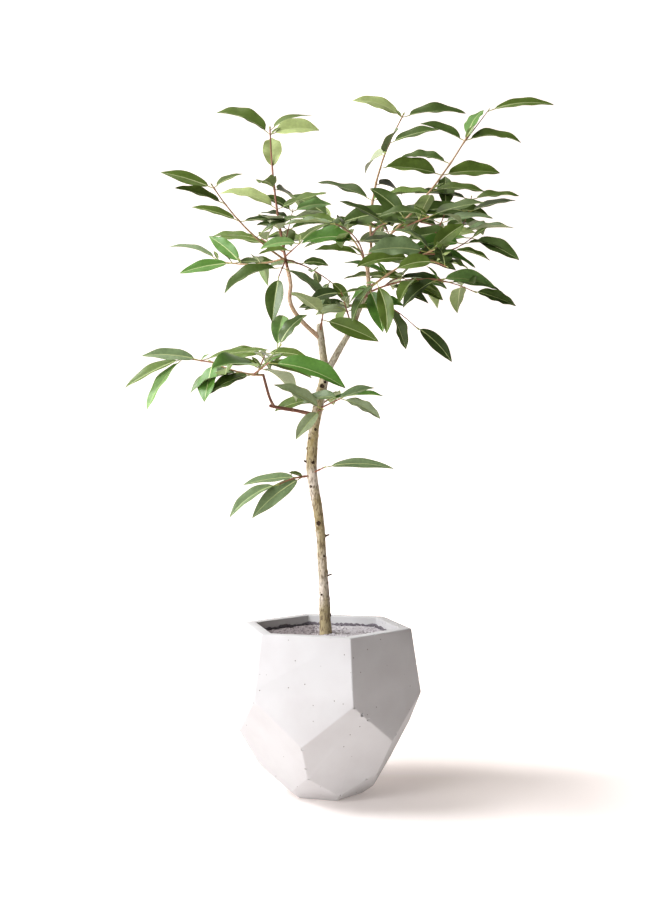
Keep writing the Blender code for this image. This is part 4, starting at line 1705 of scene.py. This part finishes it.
TRUNK_ROUTE = (
    (0.000, 0.0, 0.268, 0.0262),
    (-0.001, 0.0, 0.284, 0.0228),
    (-0.002, 0.0, 0.302, 0.0205),
    (-0.004, 0.0, 0.350, 0.0185),
    (-0.008, 0.0, 0.418, 0.0160),
    (-0.013, 0.0, 0.486, 0.0168),
    (-0.023, 0.0, 0.543, 0.0178),
    (-0.027, 0.0, 0.588, 0.0195),
    (-0.022, 0.0, 0.647, 0.0185),
    (-0.012, 0.0, 0.702, 0.0180),
    (0.001, 0.0, 0.757, 0.0165),
)
BOUGH_ROUTES = {
    "stem_left": (
        (-0.001, 0.0, 0.745, 0.0135), (-0.007, 0.0, 0.790, 0.0130), (-0.013, 0.0, 0.838, 0.0120),
    ),
    "bough_left": (
        (-0.012, 0.0, 0.812, 0.0080), (-0.047, -0.008, 0.844, 0.0076),
        (-0.065, -0.018, 0.874, 0.0074), (-0.064, -0.020, 0.905, 0.0070),
        (-0.070, -0.020, 0.936, 0.0068),
    ),
    "bough_right": (
        (0.001, 0.0, 0.750, 0.0125), (0.026, 0.008, 0.796, 0.0112), (0.046, 0.018, 0.832, 0.0104),
        (0.062, 0.025, 0.872, 0.0098), (0.083, 0.030, 0.914, 0.0092),
    ),
    "bough_top": (
        (0.079, 0.029, 0.906, 0.0080), (0.076, 0.032, 0.945, 0.0068), (0.083, 0.034, 0.984, 0.0062),
    ),
    "bough_low": (
        (-0.020, 0.0, 0.672, 0.0095), (-0.050, -0.012, 0.679, 0.0090),
        (-0.078, -0.028, 0.683, 0.0088), (-0.101, -0.042, 0.687, 0.0080),
    ),
    "bough_low_end": (
        (-0.092, -0.037, 0.684, 0.0068), (-0.101, -0.045, 0.704, 0.0064),
        (-0.111, -0.056, 0.742, 0.0060),
    ),
}

LIMB_STEP = 0.018
STUBS = (
    Stub(0.372, -12, 0.0135, 0.0034),
    Stub(0.228, -8, 0.0140, 0.0030),
    Stub(0.645, -176, 0.0110, 0.0040),
)
SCARS = (
    Scar(0.478, -100, 0.0058, 0.0016),
    Scar(0.455, -15, 0.0034, 0.0012),
    Scar(0.419, -60, 0.0030, 0.0009),
    Scar(0.389, -20, 0.0034, 0.0012),
    Scar(0.313, -20, 0.0036, 0.0012),
    Scar(0.350, -120, 0.0028, 0.0008),
    Scar(0.544, -120, 0.0034, 0.0010),
    Scar(0.587, -70, 0.0040, 0.0012),
    Scar(0.612, -150, 0.0036, 0.0014),
    Scar(0.630, -130, 0.0032, 0.0010),
    Scar(0.646, -75, 0.0034, 0.0010),
    Scar(0.709, -62, 0.0052, 0.0016),
    Scar(0.724, -95, 0.0054, 0.0016),
    Scar(0.731, -70, 0.0036, 0.0012),
    Scar(0.740, 110, 0.0040, 0.0012),
    Scar(0.520, 70, 0.0042, 0.0012),
    Scar(0.400, 130, 0.0034, 0.0010),
)
OLD_BARK = Bark()
GREY_BARK = Bark("thin grey bark", "#9a8a72", "#d6ccbb", "#eee7dc", "#c2b692", patch_mm=12.0,
                 fleck_mm=1.8)
YOUNG_BARK = Bark("thin young bark", "#ae8a70", "#dcbca4", "#efe0d0", "#d0b090", patch_mm=11.0,
                  fleck_mm=1.8)
SHOOT_BARK = Bark("red brown shoot bark", "#5c3a31", "#875a4b", "#ad8873", "#755041",
                  patch_mm=9.0, fleck_mm=1.6)
BARKS = {"stem_left": GREY_BARK, "bough_right": GREY_BARK, "bough_low": SHOOT_BARK,
         "bough_low_end": SHOOT_BARK}
GIRTHS = {"bough_low": 0.72, "bough_low_end": 0.74}
LIMBS = [
    WoodyLimb("trunk", TRUNK_ROUTE, sides=52, bark=OLD_BARK, step=0.0012, branch=False,
              scars=SCARS, stubs=STUBS),
    *(WoodyLimb(name, route, sides=22, bark=BARKS.get(name, YOUNG_BARK), step=0.0014,
                girth=GIRTHS.get(name, 1.0))
      for name, route in BOUGH_ROUTES.items())]

SHOOT_SKINS = {"crown_left leader": YOUNG_SHOOT, "crown_left leaning": OLD_SHOOT,
               "crown_left level": OLD_SHOOT, "low_left upright": GREEN_SHOOT}
# Tones listed leaf by leaf to match how light or dark each leaf looks under its light, so they hold
# painted light, shade and sheen besides the leaves' own colours.
LEAF_TONES = {name: tone for tone, names in {
    Tone.SHADE: (
        "crown_far outer 2 0", "crown_far end 2 0", "crown_far round 1 0",
        "crown_side leader 0 1", "crown_below drop 1 0"),
    Tone.DEEP: (
        "crown_left hanging 0 0", "crown_left hanging 1 0", "crown_inner leader 4 0",
        "crown_centre leader 6 0", "crown_centre leader 5 0", "crown_centre leader 3 0",
        "crown_centre leader 2 0", "crown_centre leader 4 1", "crown_right leader 1 1",
        "crown_right leader 1 0", "crown_right leader 4 0", "crown_right leader 5 1",
        "crown_far rising 3 0", "crown_far end 3 0", "crown_side outer 2 0",
        "crown_below drop 0 0", "low_left upright 2 0", "low_left leader 0 0"),
    Tone.GREEN: (
        "crown_left leader 4 1", "crown_left leader 5 0", "crown_left leader 2 0",
        "crown_left leaning 4 0", "crown_left leaning 3 0", "crown_left leaning 2 0",
        "crown_left leaning 1 0", "crown_left leaning 0 0", "crown_left inward 1 0",
        "crown_inner leader 0 1", "crown_right leader 2 0", "crown_right leader 2 1",
        "crown_right far_top 0 0", "crown_right leader 5 0", "crown_far leader 3 0",
        "crown_far outer 3 0", "crown_side outer 1 0", "crown_side leader 1 0",
        "crown_below leader 2 0", "stem_tuft leader 1 0", "low_left outer 1 0"),
    Tone.FRESH: (
        "crown_left level 1 0", "crown_left level 2 0", "crown_far leader 0 0",
        "crown_right leader 6 0", "crown_below leader 0 0", "low_left leader 3 0",
        "low_left inward 1 0"),
    Tone.TENDER: ("low_left upright 1 0", "low_left outer 2 0", "crown_side leader 3 0"),
    Tone.PALE: (
        "crown_left leader 4 0", "crown_left leader 3 0", "crown_left leader 2 1",
        "crown_centre leader 6 1"),
    Tone.SHEEN: (
        "crown_left level 3 0", "crown_left across 2 1", "crown_far leader 1 1",
        "crown_far leader 3 1", "crown_far outer 0 0", "low_left outer 0 0",
        "low_right leader 0 0", "whorl_right leader 1 0", "whorl_left leader 0 0",
        "whorl_left leader 1 0", "whorl_left leader 3 0"),
    Tone.PAINTED_GREY_SHEEN: (
        "low_middle leader 1 0", "low_middle leader 0 0", "low_right leader 1 0",
        "crown_centre leader 4 0"),
}.items() for name in names}

MASSES = {
    "crown_left": {
        "leader": Shoot("bough_left", 0.97, (-0.105, 0.050, 1.208), 0.0026, 0.105, (
            (0.26, 80, 15), (0.56, 70, 15), (0.42, 0, 24, 34), (0.69, 98, 76, None),
            (0.955, 0, 26, 46), (0.985, 30, 46, None)), (-0.006, 0.0, 0.0), 1.1),
        "upright": Shoot("leader", 0.14, (-0.062, 0.030, 1.050), 0.0013, 0.070, (
            (0.50, 10, 25), (0.78, 170, 20), (0.97, 0, 25, 40))),
        "leaning": Shoot("leader", 0.06, (-0.193, -0.120, 1.055), 0.0020, 0.096, (
            (0.37, 170, 12, 40), (0.59, 182, 20, 12), (0.80, 212, 8, None), (0.98, 55, 32, None),
            (0.97, 180, 28, None)),
            (-0.008, 0.0, -0.006), 0.7),
        "level": Shoot("leader", 0.08, (-0.205, 0.060, 0.965), 0.0018, 0.098, (
            (0.35, 80, 10), (0.62, 150, 52, None), (0.75, 187, -4, 12), (0.97, 176, 42, None)),
            (0.0, 0.0, -0.010), 0.75),
        "hanging": Shoot("leader", 0.07, (-0.083, -0.062, 0.912), 0.0016, 0.108, (
            (0.50, 186, 2, -15), (0.95, 250, -55, None))),
        "inward": Shoot("leader", 0.09, (-0.046, -0.080, 0.966), 0.0015, 0.072, (
            (0.45, 0, None, 12), (0.96, 15, 56, 12))),
        "across": Shoot("leader", 0.07, (0.010, 0.075, 0.925), 0.0015, 0.064, (
            (0.30, 0, 15), (0.62, 80, 0), (0.96, 0, -30, -50)), (0.0, 0.0, 0.006)),
        "behind": Shoot("leader", 0.12, (-0.130, 0.200, 1.035), 0.0018, 0.100, (
            (0.45, 180, 15), (0.74, 90, 15), (0.97, 20, 20, None))),
    },
    "crown_inner": {
        "leader": Shoot("bough_top", 0.30, (0.006, 0.150, 1.065), 0.0022, 0.094, (
            (0.30, 0, 10), (0.52, 180, 16), (0.70, 90, 15), (0.86, 172, 20), (0.98, 168, 40, None)),
            (0.014, 0.0, 0.006)),
        "front": Shoot("leader", 0.22, (0.015, -0.115, 0.992), 0.0017, 0.100, (
            (0.40, 180, 20, 15), (0.70, 270, 10), (0.96, 180, 10, 25)), (0.010, 0.0, 0.008)),
    },
    "crown_centre": {
        "leader": Shoot("bough_top", 0.97, (0.142, 0.040, 1.230), 0.0025, 0.112, (
            (0.16, 0, 15), (0.46, 60, 20, None), (0.34, 168, 36, 15), (0.58, 0, 18, None),
            (0.68, 100, 25), (0.77, 0, 24, None), (0.98, 0, 24, 46)), (-0.020, 0.0, 0.0)),
        "away": Shoot("leader", 0.16, (0.125, 0.215, 1.050), 0.0019, 0.100, (
            (0.35, 10, 15), (0.66, 90, 15), (0.96, 20, 20)), (0.0, 0.0, 0.010)),
        "near": Shoot("leader", 0.08, (0.100, -0.145, 0.985), 0.0018, 0.096, (
            (0.45, 0, 20), (0.72, 80, 15), (0.96, 190, 35, 15)), (0.0, 0.0, 0.006)),
    },
    "crown_far": {
        "leader": Shoot("bough_right", 0.96, (0.182, -0.110, 0.948), 0.0023, 0.098, (
            (0.30, 180, 30, 0), (0.92, 10, 8, 17), (0.70, 10, 12), (0.97, 10, 52, 48)),
            (0.0, 0.0, 0.006)),
        "rising": Shoot("leader", 0.72, (0.222, 0.050, 1.060), 0.0017, 0.096, (
            (0.40, 0, 18), (0.70, 0, 24), (0.90, 0, 18), (0.98, 90, 62, None)),
            (0.010, 0.0, 0.0)),
        "outer": Shoot("leader", 0.80, (0.272, 0.070, 1.085), 0.0016, 0.104, (
            (0.45, 0, 20), (0.62, 60, 15), (0.80, 0, 20), (0.97, 0, 16, 10)),
            (0.020, 0.0, -0.012)),
        "end": Shoot("leader", 0.88, (0.262, -0.020, 0.990), 0.0016, 0.088, (
            (0.30, 90, 10), (0.52, 0, -2), (0.78, 0, 8), (0.97, 350, -24, 12)),
            (0.0, 0.0, -0.010)),
        "round": Shoot("leader", 0.80, (0.200, -0.150, 0.912), 0.0014, 0.062, (
            (0.60, 180, 10), (0.95, 100, 50, None)), breadth=1.4),
    },
    "crown_right": {
        "leader": Shoot("bough_top", 0.88, (0.244, -0.085, 1.150), 0.0024, 0.100, (
            (0.25, 150, 14, 10), (0.33, 0, 40, 62), (0.71, 180, 12, 15), (0.58, 0, 15, None),
            (0.80, 180, 28, None), (0.97, 0, 26, 30), (0.99, 60, 60, None)), (0.006, 0.0, -0.012)),
        "far_top": Shoot("leader", 0.93, (0.286, -0.050, 1.208), 0.0012, 0.142, (
            (0.96, 0, 27, None),), breadth=0.45),
        "away": Shoot("leader", 0.34, (0.225, 0.140, 1.045), 0.0018, 0.098, (
            (0.40, 0, 15), (0.70, 80, 15), (0.97, 10, 22))),
        "near": Shoot("leader", 0.22, (0.165, -0.215, 0.980), 0.0018, 0.098, (
            (0.45, 0, 15), (0.72, 90, 15), (0.97, 0, 20))),
    },
    "crown_side": {
        "leader": Shoot("bough_right", 0.90, (0.205, -0.030, 0.912), 0.0020, 0.098, (
            (0.30, 180, 22, -20), (0.46, 10, -8), (0.68, 60, -15), (0.96, 0, 14, -20)),
            (0.0, 0.0, 0.010)),
        "outer": Shoot("leader", 0.75, (0.272, 0.030, 0.900), 0.0014, 0.100, (
            (0.45, 0, 0), (0.72, 90, 0), (0.95, 0, -8, None)), (0.0, 0.0, 0.006)),
        "back": Shoot("leader", 0.25, (0.160, 0.185, 0.950), 0.0018, 0.096, (
            (0.50, 0, 15), (0.75, 90, 12), (0.96, 20, 15)), (0.0, 0.0, 0.008)),
    },
    "crown_below": {
        "leader": Shoot("bough_right", 0.84, (0.088, -0.075, 0.898), 0.0018, 0.096, (
            (0.40, 300, -45, 0), (0.70, 180, -12, None), (0.95, 320, -56, -30)),
            (0.0, 0.0, 0.008)),
        "drop": Shoot("leader", 0.10, (0.168, 0.050, 0.836), 0.0015, 0.092, (
            (0.40, 60, -34, None), (0.95, 0, -32, None)), (0.0, 0.0, 0.008), 0.8),
    },
    "crown_behind": {
        "leader": Shoot("bough_right", 0.70, (0.030, 0.165, 0.890), 0.0019, 0.096, (
            (0.45, 0, 10), (0.72, 90, 0), (0.96, 20, 10)), (0.0, 0.0, 0.008)),
    },
    "bough_tuft": {
        "leader": Shoot("bough_right", 0.52, (0.026, -0.045, 0.888), 0.0017, 0.060, (
            (0.45, 0, 20), (0.70, 90, 10), (0.95, 0, 12))),
    },
    "stem_tuft": {
        "leader": Shoot("stem_left", 0.84, (-0.006, -0.040, 0.850), 0.0020, 0.125, (
            (0.42, 190, 30, None), (0.66, 0, -10, None), (0.94, 60, 50, 24))),
    },
    "low_left": {
        "leader": Shoot("bough_low_end", 0.96, (-0.205, -0.035, 0.766), 0.0022, 0.095, (
            (0.18, 190, -12, None), (0.40, 180, 0, None), (0.66, 100, 5), (0.95, 250, -58, None)),
            (0.0, 0.0, -0.006), 1.5),
        "outer": Shoot("leader", 0.95, (-0.257, -0.015, 0.774), 0.0016, 0.115, (
            (0.40, 180, 12, 12), (0.95, 180, -14, None), (0.98, 200, -36, None)),
            breadth=0.72),
        "upright": Shoot("leader", 0.15, (-0.080, -0.090, 0.786), 0.0018, 0.092, (
            (0.55, 90, 20, None), (0.90, 85, 66, None), (0.97, 0, 78, None)), breadth=1.15),
        "inward": Shoot("leader", 0.18, (-0.098, -0.100, 0.757), 0.0017, 0.132, (
            (0.50, 60, 5), (0.95, 0, -4, None))),
        "behind": Shoot("leader", 0.12, (-0.115, 0.095, 0.795), 0.0018, 0.092, (
            (0.45, 0, 10), (0.72, 90, 12), (0.96, 180, 10)), breadth=0.75),
    },
    "low_middle": {
        "leader": Shoot("trunk", 0.840, (-0.006, -0.040, 0.680), 0.0018, 0.092, (
            (0.60, 225, -28, None), (0.94, 180, 42, None))),
    },
    "low_right": {
        "leader": Shoot("trunk", 0.845, (0.026, -0.040, 0.700), 0.0018, 0.080, (
            (0.80, 0, 26, None), (0.96, 340, -8, 10))),
    },
    "low_back": {
        "leader": Shoot("trunk", 0.855, (0.012, 0.085, 0.712), 0.0019, 0.100, (
            (0.55, 0, 12), (0.95, 90, 15))),
    },
    "whorl_left": {
        "leader": Shoot("trunk", 0.600, (-0.084, -0.024, 0.548), 0.0019, 0.128, (
            (0.36, 178, 2, None), (0.24, 204, -30, None), (0.62, 90, 8, None),
            (0.97, 186, -8, None)), (0.0, 0.0, 0.004), 0.66),
    },
    "whorl_right": {
        "leader": Shoot("trunk", 0.610, (-0.004, -0.028, 0.578), 0.0019, 0.118, (
            (0.60, 90, 20, None), (0.92, 0, 16, None)), breadth=0.45),
    },
}


@dataclass
class Studio:
    """The pale studio: floor and backdrop in one sweep, soft lights and the camera."""

    floor_reach: float = 9.0
    sweep_start: float = 4.0
    sweep_height: float = 9.0
    sweep_steps: int = 24
    floor_colour: str = "#ebe5e2"
    floor_roughness: float = 0.9
    floor_ior: float = 1.45
    glow_colour: str = "#fff5f0"
    glow: float = 0.20
    # Painted light: the glow whitens the pot's cast shadow, brightens the floor before and behind
    # the pot, and dims it nearer the camera and far to the right. Each ramp's axis, where along it
    # the ramp starts and ends, and what it adds to the glow.
    glow_ramps: tuple = (
        ("Y", 0.06, 0.21, 0.34), ("Y", 0.5, 1.6, 0.62), ("Y", -0.10, -0.22, 0.20),
        ("Y", -0.6, -0.9, -0.4), ("X", 0.15, 0.36, 0.09), ("X", 0.42, 0.62, 0.24),
        ("X", 0.68, 0.98, -0.5))
    aim: tuple = (0.0, 0.0, 0.5)
    lights: tuple = (
        SoftLight("key_light", 189, 43, 3.2, 1.4, 106.0, "#fbfcff"),
        SoftLight("fill_light", 226, 20, 3.2, 1.6, 66.0, "#fffeff"),
        SoftLight("top_light", 165, 76, 3.2, 2.4, 33.0, "#fff4f0"),
    )
    sky: float = 0.045
    sky_colour: str = "#fffaf6"
    lens_mm: float = 42.0
    sensor_mm: float = 36.0
    camera_place: tuple = (0.0011, -1.892, 0.577)
    camera_pitch: float = 0.98

    def paper(self) -> bpy.types.Material:
        """Make white paper that glows, more in some places than in others: painted light that
        whitens the pot's cast shadow, brightens the floor before and behind the pot, and dims it
        nearer the camera and far to the right.

        Returns:
            The material.
        """
        material, tree, shader = plain_material(
            "white paper with painted glow", self.floor_colour, self.floor_roughness, self.floor_ior)
        shader.inputs["Emission Color"].default_value = linear(self.glow_colour)
        place = add_node(tree, "ShaderNodeSeparateXYZ", {
            "Vector": add_node(tree, "ShaderNodeTexCoord").outputs["Object"]})
        total = self.glow
        for axis, start, end, gain in self.glow_ramps:
            ramp = add_node(tree, "ShaderNodeMapRange", {
                "Value": place.outputs[axis], "From Min": start, "From Max": end,
                "To Max": gain}, interpolation_type="SMOOTHSTEP")
            total = add_node(tree, "ShaderNodeMath", {
                0: ramp.outputs["Result"], 1: total}, operation="ADD").outputs["Value"]
        tree.links.new(total, shader.inputs["Emission Strength"])
        return material

    def build_sweep(self) -> None:
        """Build the floor that runs up into the backdrop."""
        rows = [(-self.floor_reach, 0.0), (self.sweep_start, 0.0)]
        radius = self.floor_reach - self.sweep_start
        for step in range(1, self.sweep_steps + 1):
            angle = math.pi / 2 * step / self.sweep_steps
            rows.append((self.sweep_start + radius * math.sin(angle),
                         radius * (1 - math.cos(angle))))
        rows.append((self.floor_reach, self.sweep_height))
        places = [Vector((x, y, z)) for y, z in rows for x in (-self.floor_reach, self.floor_reach)]
        faces = [(2 * n, 2 * n + 1, 2 * n + 3, 2 * n + 2) for n in range(len(rows) - 1)]
        parts = MeshBin()
        parts.add(places, faces, [parts.slot(self.paper())] * len(faces))
        parts.build("studio_sweep")

    def build(self) -> None:
        """Build the sweep, the lights and the camera."""
        self.build_sweep()
        for light in self.lights:
            light.build(Vector(self.aim))
        world = bpy.data.worlds.new("studio_air")
        bpy.context.scene.world = world
        world.use_nodes = True
        background = world.node_tree.nodes["Background"]
        background.inputs["Color"].default_value = linear(self.sky_colour)
        background.inputs["Strength"].default_value = self.sky
        bpy.context.scene.view_settings.view_transform = "Standard"
        lens = bpy.data.cameras.new("camera")
        lens.sensor_width = self.sensor_mm
        lens.lens = self.lens_mm
        camera = bpy.data.objects.new("camera", lens)
        camera.location = self.camera_place
        camera.rotation_euler = (math.radians(90 + self.camera_pitch), 0.0, 0.0)
        bpy.context.scene.collection.objects.link(camera)
        bpy.context.scene.camera = camera


# Each skin's material, once dress_palette has made it.
MATERIALS = {}


def dress_palette() -> None:
    """Make the material of each leaf and shoot skin once."""
    for skin in [*TOPS.values(), *UNDERSIDES.values(), RIB, PETIOLE, BUD, YOUNG_SHOOT, GREEN_SHOOT,
                 OLD_SHOOT]:
        MATERIALS.setdefault(skin, skin.material())


def main() -> None:
    """Build the studio, the pot and the tree."""
    Studio().build()
    dress_palette()
    pot = FacetedPot()
    pot.build()
    SoilBed(pot).build()
    lines = {limb.name: smooth_route(limb.route, LIMB_STEP) for limb in LIMBS}
    for limb in LIMBS:
        limb.build()
    for name, shoots in MASSES.items():
        FoliageMass(name, shoots, frame["nodes"][name], lines).build()


if __name__ == "__main__":
    logging.basicConfig(level=logging.INFO, format="%(message)s")
    main()
